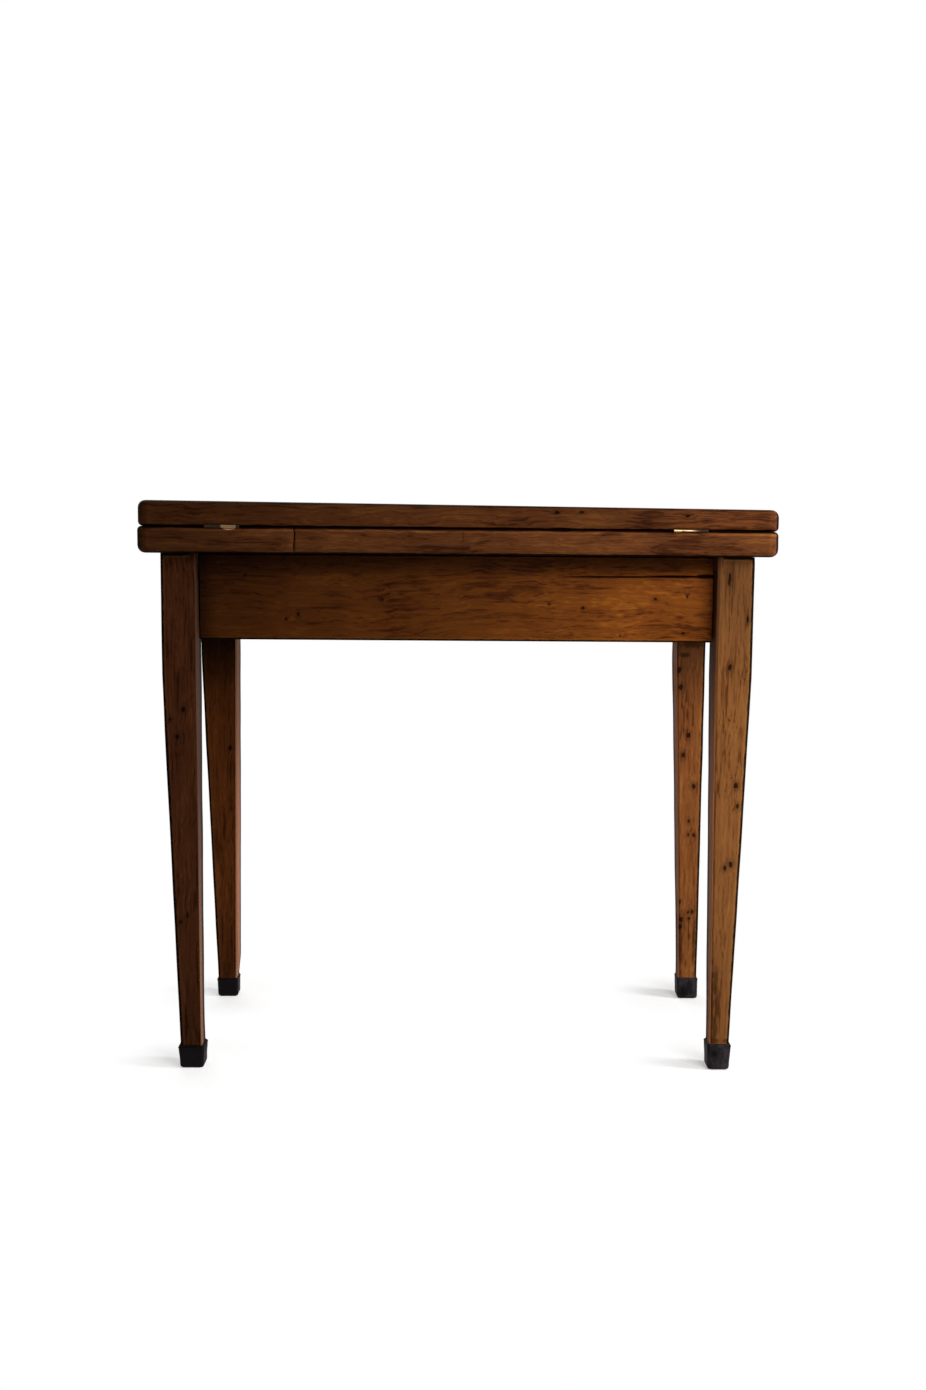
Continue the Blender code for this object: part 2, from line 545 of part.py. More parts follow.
def build_pivot(leaf, steel, wood, swivel):
    """The plate, bolt, washer and nut that hold the top down and let it turn, and the stop peg."""
    half = PIVOT_PLATE_SIDE / 2
    head_z = FIT_GAP + PIVOT_PLATE_THICKNESS + FIT_GAP
    plate = block("pivot_plate", (-half, -half, FIT_GAP), (half, half, FIT_GAP + PIVOT_PLATE_THICKNESS), steel, swivel)
    hole = turned("cut_plate_hole", rod_outline(BOLT_RADIUS + FIT_GAP, -CUT_OVERRUN, head_z + CUT_OVERRUN),
                  steel, swivel)
    boolean(plate, as_cutter(hole))
    recess = block("cut_plate_recess", (-half - FIT_GAP, -half - FIT_GAP, -CUT_OVERRUN),
                   (half + FIT_GAP, half + FIT_GAP, head_z), steel, swivel)
    boolean(leaf, as_cutter(recess))
    head_recess = turned("cut_head_recess", rod_outline(BOLT_HEAD_RADIUS + FIT_GAP, -CUT_OVERRUN,
                                                        head_z + BOLT_HEAD_HEIGHT + FIT_GAP), steel, swivel)
    boolean(leaf, as_cutter(head_recess))
    washer_top = -BEARER_THICKNESS - FIT_GAP
    nut_top = washer_top - WASHER_THICKNESS - FIT_GAP
    bolt_end = nut_top - NUT_HEIGHT - BOLT_END
    turned("pivot_bolt", ((0, bolt_end), (BOLT_RADIUS, bolt_end), (BOLT_RADIUS, head_z), (BOLT_HEAD_RADIUS, head_z),
                          (BOLT_HEAD_RADIUS, head_z + BOLT_HEAD_HEIGHT), (0, head_z + BOLT_HEAD_HEIGHT)),
           steel, swivel)
    turned("pivot_washer", rod_outline(WASHER_RADIUS, washer_top - WASHER_THICKNESS, washer_top,
                                       BOLT_RADIUS + FIT_GAP), steel, swivel)
    nut = turned("pivot_nut", rod_outline(NUT_RADIUS, nut_top - NUT_HEIGHT, nut_top), steel, swivel, sides=6)
    thread = turned("cut_nut_thread", rod_outline(BOLT_RADIUS + FIT_GAP, nut_top - NUT_HEIGHT - CUT_OVERRUN,
                                                  nut_top + CUT_OVERRUN), steel, swivel)
    boolean(nut, as_cutter(thread))
    reach = half - PLATE_SCREW_INSET
    sizes = (PLATE_SCREW_LENGTH, WOOD_SCREW_RADIUS, WOOD_SCREW_HEAD_RADIUS, WOOD_SCREW_HEAD_HEIGHT)
    for number, (across, along) in enumerate(((-1, -1), (1, -1), (1, 1), (-1, 1)), start=1):
        screw(f"pivot_plate_screw_{number}", sizes, steel, (plate, leaf), swivel,
              (across * reach, along * reach, FIT_GAP), (math.pi, 0, 0))
    place = (STOP_PEG_REACH, -STOP_PEG_OFFSET, 0)
    turned("stop_peg", rod_outline(STOP_PEG_RADIUS, -STOP_PEG_DROP, FIT_GAP + STOP_PEG_SEAT), wood, swivel, place)
    seat = turned("cut_peg_seat", rod_outline(STOP_PEG_RADIUS + FIT_GAP, -CUT_OVERRUN, STOP_PEG_SEAT + 2 * FIT_GAP),
                  wood, swivel, place)
    boolean(leaf, as_cutter(seat))


def build_table():
    remove_everything()
    top_wood = look("top_wood", (0.074, 0.024, 0.008), 0.42)
    frame_wood = look("frame_wood", (0.125, 0.045, 0.013), 0.45)
    plain_wood = look("plain_wood", (0.30, 0.17, 0.08), 0.65)
    brass = look("brass", (0.55, 0.38, 0.16), 0.35, 1.0)
    steel = look("steel", (0.30, 0.29, 0.28), 0.45, 1.0)
    rubber = look("rubber", (0.010, 0.008, 0.010), 0.7)
    cloth = look("cloth", (0.020, 0.085, 0.045), 0.95)

    legs = {leg: build_leg(leg, frame_wood) for leg in leg_names}
    for leg in legs:
        build_foot_cap(leg, rubber)

    front_rail = build_rail("rail_front", "X", (inner_face_x("front_left"), inner_face_x("front_right")),
                            (FRONT_RAIL_Y, FRONT_RAIL_INNER_Y), (legs["front_left"], legs["front_right"]), frame_wood)
    back_rail = build_rail("rail_back", "X", (inner_face_x("back_left"), inner_face_x("back_right")),
                           (BACK_RAIL_INNER_Y, BACK_RAIL_Y), (legs["back_left"], legs["back_right"]), frame_wood)
    short_span = (LEG_FRONT_Y + LEG_DEPTH, LEG_BACK_Y - LEG_DEPTH)
    build_rail("rail_left", "Y", short_span, (-SHORT_RAIL_X, -SHORT_RAIL_INNER_X),
               (legs["front_left"], legs["back_left"]), frame_wood)
    build_rail("rail_right", "Y", short_span, (SHORT_RAIL_INNER_X, SHORT_RAIL_X),
               (legs["front_right"], legs["back_right"]), frame_wood)
    build_bearer(front_rail, back_rail, plain_wood)
    build_well(front_rail, back_rail, plain_wood, steel)

    swivel = empty("swivel_axis", location=(PIVOT_X, PIVOT_Y, FRAME_HEIGHT))
    seam_place = (-PIVOT_X, HINGE_Y - PIVOT_Y, SEAM_Z - FRAME_HEIGHT)
    seam = empty("seam_line", swivel, seam_place, SEAM_TILT)
    fold = empty("fold_axis", swivel, seam_place, SEAM_TILT)
    lower_leaf = build_leaf("lower_leaf", FIT_GAP, LEAF_FRONT_Y, LOWER_LEAF_LEFT, LOWER_LEAF_RIGHT,
                            OUTER_EDGE_RADIUS, SEAM_EDGE_RADIUS, top_wood, swivel, (-PIVOT_X, -PIVOT_Y, 0))
    upper_leaf = build_leaf("upper_leaf", FIT_GAP / 2, HINGE_AXIS_LEAD, UPPER_LEAF_LEFT, UPPER_LEAF_RIGHT,
                            SEAM_EDGE_RADIUS, OUTER_EDGE_RADIUS, top_wood, fold, (0, 0, 0))
    build_cloth("lower_cloth", lower_leaf, -1, cloth, seam)
    build_cloth("upper_cloth", upper_leaf, 1, cloth, fold)
    build_hinges(lower_leaf, upper_leaf, brass, seam, fold)
    build_pivot(lower_leaf, steel, plain_wood, swivel)


build_table()
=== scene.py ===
"""The looks of the fold over card table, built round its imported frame.

The sections follow the table as it is put together: the frame first, then the well and the
pivot inside it, the two leaves with their cloth, and last the hinges.
"""

import json
import math

import bmesh
import bpy
from mathutils import Matrix, Vector, noise


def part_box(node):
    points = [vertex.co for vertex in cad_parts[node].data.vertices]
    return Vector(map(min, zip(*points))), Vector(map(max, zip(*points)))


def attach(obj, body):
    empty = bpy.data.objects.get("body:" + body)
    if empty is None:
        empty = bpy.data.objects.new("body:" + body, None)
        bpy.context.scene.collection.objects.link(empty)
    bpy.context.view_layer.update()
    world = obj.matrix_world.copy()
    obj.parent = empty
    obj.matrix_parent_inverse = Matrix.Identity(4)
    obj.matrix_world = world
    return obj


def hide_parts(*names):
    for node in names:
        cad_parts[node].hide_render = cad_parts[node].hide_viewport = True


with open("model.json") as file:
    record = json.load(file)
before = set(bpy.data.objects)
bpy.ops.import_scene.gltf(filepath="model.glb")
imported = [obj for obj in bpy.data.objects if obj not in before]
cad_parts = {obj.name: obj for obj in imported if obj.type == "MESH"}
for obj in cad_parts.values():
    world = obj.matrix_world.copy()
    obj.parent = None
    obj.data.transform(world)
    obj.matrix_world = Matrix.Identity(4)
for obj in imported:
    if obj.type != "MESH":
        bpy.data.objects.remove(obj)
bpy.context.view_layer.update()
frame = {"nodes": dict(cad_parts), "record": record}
scene = bpy.context.scene
scene.view_settings.view_transform = "Standard"

# Camera: at the height of the table top, a little left of the middle and 2.2 m from it,
# as fitted to the table's edges in the photograph.
camera_place = (-0.011, -2.1711, 0.7353)
camera_turn = 0.0094
camera_dip = 0.1082
camera_roll = 0.0076
focal_pixels = 1500
sensor_millimetres = 36
photo_height_pixels = 1390

camera_data = bpy.data.cameras.new("camera")
camera_data.sensor_width = sensor_millimetres
camera_data.lens = camera_data.sensor_width * focal_pixels / photo_height_pixels
camera = bpy.data.objects.new("camera", camera_data)
scene.collection.objects.link(camera)
camera.matrix_world = (Matrix.Translation(camera_place) @ Matrix.Rotation(-camera_turn, 4, "Z")
                       @ Matrix.Rotation(math.pi / 2 - camera_dip, 4, "X")
                       @ Matrix.Rotation(camera_roll, 4, "Z"))
scene.camera = camera


# Studio: a white floor and surround that the camera sees as plain white. The key lamp stands close
# by on the right, so the table darkens towards its left end. The side lamp draws the feet's shadows.
leg_names = ("front_left", "front_right", "back_left", "back_right")
floor_half_side = 6.0
floor_squares = 8
floor_colour = (0.8, 0.8, 0.8)
floor_glow_right = 0.3
floor_glow_left = 0.48
floor_glow_reach = 0.45
floor_level_span = (-1.0, 0.4)
surround_level_span = (-0.3, 0.7)
shadow_start = 0.125
shadow_full = 0.04
ambient_level = 0.18
level_behind_camera = 0.07
level_of_backdrop = 0.75
lamp_aim = (0.0, 0.0, 0.45)
# Each lamp's name, place, size in metres and power in watts
lamps = (("key_lamp", (0.8, -1.25, 1.15), 1.1, 16.0), ("side_lamp", (2.2, -0.6, 1.3), 0.6, 38.0),
         ("fill_lamp", (-0.8, 2.4, 2.6), 2.5, 24.0))


def fill_inputs(tree, node, inputs):
    """Puts values or other nodes' outputs on a node's inputs."""
    for key, value in inputs.items():
        if isinstance(value, bpy.types.NodeSocket):
            tree.links.new(value, node.inputs[key])
        else:
            node.inputs[key].default_value = value


def add_node(tree, kind, inputs=None, **settings):
    node = tree.nodes.new(kind if kind.startswith("NodeGroup") else "ShaderNode" + kind)
    for name, value in settings.items():
        setattr(node, name, value)
    fill_inputs(tree, node, inputs or {})
    return node


def calc(tree, operation, *values):
    return add_node(tree, "Math", dict(enumerate(values)), operation=operation).outputs[0]


def vector_calc(tree, operation, *values):
    inputs = dict(enumerate(values)) if operation != "SCALE" else {0: values[0], "Scale": values[1]}
    node = add_node(tree, "VectorMath", inputs, operation=operation)
    return node.outputs["Value" if operation == "LENGTH" else "Vector"]


def axes_of(tree, vector):
    return add_node(tree, "SeparateXYZ", {0: vector}).outputs


def ramp(tree, value, low, high, to_low=0.0, to_high=1.0):
    """A smooth step from one value to another; low may lie above high."""
    inputs = {"Value": value, "From Min": low, "From Max": high, "To Min": to_low, "To Max": to_high}
    return add_node(tree, "MapRange", inputs, interpolation_type="SMOOTHSTEP").outputs["Result"]


def seen_directly(tree):
    """1 for what the camera sees, straight or through gloss or glass, and 0 for light on its way round."""
    path = add_node(tree, "LightPath").outputs
    seen = calc(tree, "MAXIMUM", path["Is Camera Ray"], path["Is Glossy Ray"])
    return calc(tree, "MAXIMUM", seen, path["Is Transmission Ray"])


def level_in_gloss(tree, distance_back, near, far):
    """How bright gloss shows the white surroundings: dim behind the camera, bright towards the backdrop."""
    glossy = add_node(tree, "LightPath").outputs["Is Glossy Ray"]
    level = ramp(tree, distance_back, near, far, level_behind_camera, level_of_backdrop)
    return calc(tree, "MULTIPLY_ADD", glossy, calc(tree, "SUBTRACT", level, 1.0), 1.0)


def build_floor():
    shape = bmesh.new()
    bmesh.ops.create_grid(shape, x_segments=floor_squares, y_segments=floor_squares, size=floor_half_side)
    mesh = bpy.data.meshes.new("floor")
    shape.to_mesh(mesh)
    shape.free()
    floor = bpy.data.objects.new("floor", mesh)
    scene.collection.objects.link(floor)
    material = bpy.data.materials.new("pale_floor")
    material.use_nodes = True
    tree = material.node_tree
    tree.nodes.clear()
    place = add_node(tree, "TexCoord").outputs["Object"]
    from_foot = floor_half_side
    for leg in leg_names:
        low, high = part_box("foot_cap_" + leg)
        foot = (low + high) / 2
        offset = vector_calc(tree, "SUBTRACT", place, (foot.x, foot.y, 0.0))
        from_foot = calc(tree, "MINIMUM", vector_calc(tree, "LENGTH", offset), from_foot)
    near_foot = ramp(tree, from_foot, shadow_start, shadow_full)
    part = axes_of(tree, place)
    paper = add_node(tree, "BsdfDiffuse", {"Color": (*floor_colour, 1.0)}).outputs[0]
    evening = ramp(tree, part["X"], floor_glow_reach, -floor_glow_reach, floor_glow_right, floor_glow_left)
    glow = add_node(tree, "Emission", {"Strength": evening}).outputs[0]
    level = level_in_gloss(tree, part["Y"], *floor_level_span)
    white = add_node(tree, "Emission", {"Strength": level}).outputs[0]
    shaded = add_node(tree, "AddShader", {0: paper, 1: glow}).outputs[0]
    shown = add_node(tree, "MixShader", {0: near_foot, 1: white, 2: shaded}).outputs[0]
    surface = add_node(tree, "MixShader", {0: seen_directly(tree), 1: paper, 2: shown}).outputs[0]
    add_node(tree, "OutputMaterial", {"Surface": surface})
    mesh.materials.append(material)


def build_surround():
    """White to the camera and to gloss on the backdrop's side, and dimmer behind the camera."""
    world = bpy.data.worlds.new("white_surround")
    world.use_nodes = True
    tree = world.node_tree
    tree.nodes.clear()
    heading = axes_of(tree, add_node(tree, "TexCoord").outputs["Generated"])
    shown = level_in_gloss(tree, heading["Y"], *surround_level_span)
    level = add_node(tree, "Mix", {0: seen_directly(tree), 2: ambient_level, 3: shown}).outputs[0]
    background = add_node(tree, "Background", {"Color": (1, 1, 1, 1), "Strength": level}).outputs[0]
    add_node(tree, "OutputWorld", {"Surface": background})
    scene.world = world


def build_lamp(name, place, size, power):
    lamp = bpy.data.lights.new(name, "AREA")
    lamp.shape = "DISK"
    lamp.size = size
    lamp.energy = power
    holder = bpy.data.objects.new(name, lamp)
    scene.collection.objects.link(holder)
    aim = Vector(lamp_aim) - Vector(place)
    holder.matrix_world = Matrix.Translation(place) @ aim.to_track_quat("-Z", "Y").to_matrix().to_4x4()


build_floor()
build_surround()
for lamp in lamps:
    build_lamp(*lamp)


# Legs: four square posts of stained pine, tapered by hand plane from a little below the rails. Each was
# planed on its own, so each has its own tone, knots and grain; the left legs' darker tone is also painted
# shade, for the light falling off towards the left. The rails' mortises are in them.
frame_wander = 0.0006
wander_wave = 0.07
drift_seed = 1
arris_wear = 0.0009
arris_wave = 0.016
arris_spread = 4.0
leg_slice = 0.01
sharp_angle = math.radians(38)
flat_angle = math.radians(0.2)
merge_distance = 0.00001
node_bodies = {node: body for body, nodes in frame["record"]["behaviour"]["bodies"].items() for node in nodes}
noise.seed_set(drift_seed)


def merged_copy(node):
    """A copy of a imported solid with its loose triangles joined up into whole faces."""
    shape = bmesh.new()
    shape.from_mesh(frame["nodes"][node].data)
    bmesh.ops.remove_doubles(shape, verts=shape.verts, dist=merge_distance)
    bmesh.ops.dissolve_limit(shape, angle_limit=flat_angle, verts=shape.verts, edges=shape.edges)
    return shape


def slice_at(shape, axis, places):
    """Cuts the faces across at places along an axis, so that they can be worn and bent."""
    normal = Vector((0, 0, 0))
    normal[axis] = 1
    for place in places:
        everything = shape.verts[:] + shape.edges[:] + shape.faces[:]
        bmesh.ops.bisect_plane(shape, geom=everything, dist=merge_distance,
                               plane_co=normal * place, plane_no=normal)


def slice_across(shape, axis, spacing):
    low = min(vertex.co[axis] for vertex in shape.verts)
    high = max(vertex.co[axis] for vertex in shape.verts)
    count = int((high - low) / spacing)
    slice_at(shape, axis, [low + number * (high - low) / (count + 1) for number in range(1, count + 1)])


def wander(shape):
    """Old boards aren't straight: moves every corner sideways by a slow drift that neighbours share."""
    for vertex in shape.verts:
        drift = noise.noise_vector(vertex.co / wander_wave) * frame_wander
        vertex.co.x += drift.x
        vertex.co.y += drift.y


def wear_edges(shape):
    """Rubs the rounded edges inwards in places. On a flat face the normal lies along an axis, so it stays."""
    shape.normal_update()
    pushes = []
    for vertex in shape.verts:
        slant = 1 - max(abs(part) for part in vertex.normal)
        bite = noise.noise(vertex.co / arris_wave) + noise.noise(vertex.co / (arris_wave / 3)) / 2
        pushes.append((vertex, vertex.normal * -arris_wear * min(1.0, slant * arris_spread) * max(0.0, bite)))
    for vertex, push in pushes:
        vertex.co += push


def settle(shape, node, material):
    """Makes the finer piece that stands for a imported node, shaded smooth between its sharp edges."""
    name = "fine_" + node
    mesh = bpy.data.meshes.new(name)
    shape.to_mesh(mesh)
    shape.free()
    mesh.shade_smooth()
    mesh.set_sharp_from_angle(angle=sharp_angle)
    mesh.materials.append(material)
    piece = bpy.data.objects.new(name, mesh)
    scene.collection.objects.link(piece)
    piece.modifiers.new("even shading", "WEIGHTED_NORMAL").keep_sharp = True
    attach(piece, node_bodies[node])
    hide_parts(node)
    return piece


def new_group(name, inputs, outputs):
    tree = bpy.data.node_groups.new(name, "ShaderNodeTree")
    kinds = {"v": "NodeSocketVector", "f": "NodeSocketFloat", "c": "NodeSocketColor"}
    for way, sockets in (("INPUT", inputs), ("OUTPUT", outputs)):
        for socket, kind in sockets.items():
            tree.interface.new_socket(name=socket, in_out=way, socket_type=kinds[kind])
    return tree, add_node(tree, "NodeGroupInput").outputs


def stretched_noise(tree, place, stretch, detail=2.0, roughness=0.55):
    """Noise with its own pitch along and across the grain, in waves per metre."""
    scaled = vector_calc(tree, "MULTIPLY", place, stretch)
    inputs = {"Vector": scaled, "Scale": 1.0, "Detail": detail, "Roughness": roughness}
    return add_node(tree, "TexNoise", inputs).outputs[0]


def total(tree, first, *others):
    for other in others:
        first = calc(tree, "ADD", first, other)
    return first


def product(tree, first, *others):
    for other in others:
        first = calc(tree, "MULTIPLY", first, other)
    return first


def minus(tree, first, second):
    return calc(tree, "SUBTRACT", first, second)


def off_middle(tree, value, *gains):
    """A noise's swing either side of its middle, times its gains."""
    return product(tree, minus(tree, value, 0.5), *gains)


def darkened(tree, amount, tone):
    """1 where an amount is 0, and the tone where it is 1."""
    return ramp(tree, amount, 0.0, 1.0, 1.0, tone)


def mixed(tree, factor, first, second):
    """Two colours mixed. A Mix node takes its colours at sockets 6 and 7 and gives its own at 2."""
    return add_node(tree, "Mix", {0: factor, 6: first, 7: second}, data_type="RGBA").outputs[2]


def new_material(name):
    """A material with its node tree, its surface shader and the place on the piece."""
    material = bpy.data.materials.new(name)
    material.use_nodes = True
    tree = material.node_tree
    return material, tree, tree.nodes["Principled BSDF"], add_node(tree, "TexCoord").outputs["Object"]


def dress(tree, shader, colour, roughness, height, gloss):
    """Gives a surface its colour, its roughness, its relief in metres and the strength of its shine."""
    relief = add_node(tree, "Bump", {"Distance": 1.0, "Height": height}).outputs["Normal"]
    fill_inputs(tree, shader, {"Base Color": colour, "Roughness": roughness, "Normal": relief,
                               "Specular IOR Level": gloss})


def build_edge_group():
    """How far a place on a board lies from its nearest edge; the far end of a tapered board is shifted."""
    inputs = {"Place": "v", "Low": "v", "High": "v", "Low shift": "v", "High shift": "v",
              "Knee": "f", "Drop": "f"}
    tree, given = new_group("board_edge", inputs, {"Distance": "f", "From low": "v", "From high": "v"})
    height = axes_of(tree, given["Place"])["Z"]
    fall = calc(tree, "DIVIDE", minus(tree, given["Knee"], height), given["Drop"])
    fall = calc(tree, "MINIMUM", calc(tree, "MAXIMUM", fall, 0.0), 1.0)
    low = vector_calc(tree, "MULTIPLY_ADD", given["Low shift"], fall, given["Low"])
    high = vector_calc(tree, "MULTIPLY_ADD", given["High shift"], fall, given["High"])
    from_low = vector_calc(tree, "SUBTRACT", given["Place"], low)
    from_high = vector_calc(tree, "SUBTRACT", high, given["Place"])
    part = axes_of(tree, vector_calc(tree, "MINIMUM", from_low, from_high))
    smaller = calc(tree, "MINIMUM", part["X"], part["Y"])
    larger = calc(tree, "MAXIMUM", part["X"], part["Y"])
    middle = calc(tree, "MAXIMUM", smaller, calc(tree, "MINIMUM", larger, part["Z"]))
    add_node(tree, "NodeGroupOutput", {"Distance": middle, "From low": from_low, "From high": from_high})
    return tree


mark_core = (1.25, 0.45)
mark_halo = (3.4, 0.8, 0.0, 0.38)
mark_bend = (4.5, 0.3)


def build_mark_group():
    """One knot or stain: a dark core with a softer halo, and how far the grain bends round it."""
    inputs = {"Place": "v", "Centre": "v", "Reach": "v", "Ragged": "f", "Pitch": "v"}
    tree, given = new_group("wood_mark", inputs, {"Core": "f", "Dark": "f", "Bend": "f"})
    ragged = off_middle(tree, stretched_noise(tree, given["Place"], given["Pitch"], 2.0), given["Ragged"])
    offset = vector_calc(tree, "SUBTRACT", given["Place"], given["Centre"])
    away = vector_calc(tree, "LENGTH", vector_calc(tree, "DIVIDE", offset, given["Reach"]))
    distance = total(tree, away, ragged)
    core = ramp(tree, distance, *mark_core)
    halo = ramp(tree, distance, *mark_halo)
    bend = ramp(tree, away, *mark_bend)
    add_node(tree, "NodeGroupOutput", {"Core": core, "Dark": calc(tree, "MAXIMUM", core, halo), "Bend": bend})
    return tree


# The wood's patterns of noise: waves per metre along and across the grain, detail, and roughness if not 0.55
wood_patterns = {"slow": (2.5, 9.0, 2.0), "ripple": (20.0, 34.0, 1.0), "streak": (7.0, 120.0, 3.0, 0.6),
                 "line": (18.0, 290.0, 2.0), "dash": (46.0, 380.0, 1.0), "fibre": (26.0, 640.0, 2.0),
                 "fleck": (50.0, 800.0, 1.0), "cloud": (6.5, 14.0, 2.0), "patch": (20.0, 42.0, 3.0),
                 "curl": (70.0, 320.0, 1.0), "ragged": (95.0, 95.0, 3.0)}
slow_bend = 0.05
ripple_bend = 0.012
rings_per_metre = 170.0
ring_strength = 0.12
late_wood_rise = (0.25, 0.9)
late_wood_fall = (1.0, 0.93)
dash_span = (0.64, 0.78)
fleck_span = (0.68, 0.76)
curl_span = (0.38, 0.6)
line_gain = 0.7
fibre_gain = 0.9
patch_gain = 0.5
dark_to_middle = (0.08, 0.5)
middle_to_light = (0.5, 0.92)
edge_raggedness = 0.0026
rubbed_span = (0.0032, 0.0006)
grime_and_edge_shade_span = (0.0, -0.0013)
fleck_tone = 0.62
dash_tone = 0.62
knot_tone = 0.12
grime_and_edge_shade_tone = 0.08
wood_roughness = 0.6
roughness_gain = 0.3
fibre_relief = 0.00008
streak_relief = 0.00022
patch_relief = 0.0004
curl_relief = 0.0002
fleck_relief = 0.00012
knot_relief = 0.00025


def grain_noise(tree, place, pattern):
    along, across, *texture = wood_patterns[pattern]
    return stretched_noise(tree, place, (along, across, across), *texture)


def build_wood_group():
    """Stained softwood with its grain along X: rings, streaks, clouds, curl, knots, worn edges, and edges
    darkened by grime and painted shade.
    """
    inputs = {"Place": "v", "Bend": "f", "Knot": "f", "Edge": "f", "Fade": "f", "Dark": "c", "Middle": "c",
              "Light": "c", "Streaks": "f", "Clouds": "f", "Curl": "f", "Rubbed": "f", "Grime and edge shade": "f"}
    tree, given = new_group("stained_wood", inputs, {"Colour": "c", "Roughness": "f", "Height": "f"})
    place = given["Place"]
    bent = total(tree, off_middle(tree, grain_noise(tree, place, "slow"), slow_bend), given["Bend"],
                 off_middle(tree, grain_noise(tree, place, "ripple"), ripple_bend))
    part = axes_of(tree, place)
    squares = total(tree, product(tree, part["Y"], part["Y"]), product(tree, part["Z"], part["Z"]))
    radius = calc(tree, "SQRT", squares)
    ring = calc(tree, "FRACT", product(tree, total(tree, radius, bent), rings_per_metre))
    late = product(tree, ramp(tree, ring, *late_wood_rise), ramp(tree, ring, *late_wood_fall))
    flow = vector_calc(tree, "ADD", place, add_node(tree, "CombineXYZ", {"Y": bent, "Z": bent}).outputs[0])
    along_grain = ("streak", "line", "fibre", "curl")
    streak, line, fibre, curl = (grain_noise(tree, flow, pattern) for pattern in along_grain)
    dash = ramp(tree, grain_noise(tree, flow, "dash"), *dash_span)
    fleck = ramp(tree, grain_noise(tree, flow, "fleck"), *fleck_span)
    cloud, patch, ragged = (grain_noise(tree, place, pattern) for pattern in ("cloud", "patch", "ragged"))
    tone = total(tree, off_middle(tree, streak, given["Streaks"]), 0.5,
                 off_middle(tree, line, line_gain, given["Streaks"]),
                 off_middle(tree, fibre, fibre_gain, given["Streaks"]),
                 off_middle(tree, cloud, given["Clouds"]),
                 off_middle(tree, patch, patch_gain, given["Clouds"]),
                 off_middle(tree, curl, given["Curl"], ramp(tree, patch, *curl_span)))
    tone = minus(tree, tone, product(tree, late, ring_strength))
    colour = mixed(tree, ramp(tree, tone, *dark_to_middle), given["Dark"], given["Middle"])
    colour = mixed(tree, ramp(tree, tone, *middle_to_light), colour, given["Light"])
    edge = total(tree, given["Edge"], off_middle(tree, ragged, edge_raggedness))
    beyond_grime_and_edge_shade = minus(tree, edge, given["Grime and edge shade"])
    rubbed = product(tree, ramp(tree, beyond_grime_and_edge_shade, *rubbed_span), given["Rubbed"])
    colour = mixed(tree, rubbed, colour, given["Light"])
    # Near every edge the colour darkens: partly grime, partly painted shade along the edges, where parts meet
    # and under the leaves.
    grime_and_edge_shade = ramp(tree, beyond_grime_and_edge_shade, *grime_and_edge_shade_span)
    shade = product(tree, darkened(tree, fleck, fleck_tone), darkened(tree, given["Knot"], knot_tone),
                    darkened(tree, grime_and_edge_shade, grime_and_edge_shade_tone), darkened(tree, dash, dash_tone), given["Fade"])
    colour = vector_calc(tree, "SCALE", colour, shade)
    rough = total(tree, wood_roughness, off_middle(tree, streak, roughness_gain),
                  product(tree, calc(tree, "MAXIMUM", grime_and_edge_shade, given["Knot"]), roughness_gain))
    height = total(tree, off_middle(tree, fibre, fibre_relief), off_middle(tree, streak, streak_relief),
                   off_middle(tree, patch, patch_relief), off_middle(tree, curl, given["Curl"], curl_relief),
                   product(tree, fleck, -fleck_relief), product(tree, given["Knot"], -knot_relief))
    add_node(tree, "NodeGroupOutput", {"Colour": colour, "Roughness": rough, "Height": height})
    return tree


rim_pitch = (45.0, 70.0, 70.0)
rim_raggedness = 0.003
rim_core_share = 0.5
rim_inset_share = 0.7


def build_rim_group():
    """A line round a leaf at one height, where a rounded edge meets a flat face; Slope follows its taper."""
    inputs = {"Place": "v", "Low": "v", "High": "v", "Height": "f", "Slope": "f", "Reach": "f", "Inset": "f"}
    tree, given = new_group("leaf_rim", inputs, {"Line": "f"})
    part = axes_of(tree, given["Place"])
    level = calc(tree, "MULTIPLY_ADD", part["X"], given["Slope"], given["Height"])
    ragged = stretched_noise(tree, given["Place"], rim_pitch, 3.0)
    above = calc(tree, "ABSOLUTE", minus(tree, part["Z"], level))
    above = total(tree, above, off_middle(tree, ragged, rim_raggedness))
    line = ramp(tree, above, given["Reach"], product(tree, given["Reach"], rim_core_share))
    inside = vector_calc(tree, "MINIMUM", vector_calc(tree, "SUBTRACT", given["Place"], given["Low"]),
                         vector_calc(tree, "SUBTRACT", given["High"], given["Place"]))
    plan = axes_of(tree, inside)
    from_rim = calc(tree, "MINIMUM", plan["X"], plan["Y"])
    outside = ramp(tree, from_rim, given["Inset"], product(tree, given["Inset"], rim_inset_share))
    add_node(tree, "NodeGroupOutput", {"Line": product(tree, line, outside)})
    return tree


edge_group = build_edge_group()
rim_group = build_rim_group()
mark_group = build_mark_group()
wood_group = build_wood_group()
grain_turns = {"X": (0, 0, 0), "Y": (0, 0, -math.pi / 2), "Z": (0, math.pi / 2, 0)}
mark_pitches = {"X": (75.0, 230.0, 230.0), "Y": (230.0, 75.0, 230.0), "Z": (230.0, 230.0, 75.0)}


# The dark, middle and light tones that a stain takes on softwood, as shares of its colour
tone_shares = {"Dark": (0.38, 0.3, 0.2), "Middle": (1, 1, 1), "Light": (1.5, 1.68, 1.6)}
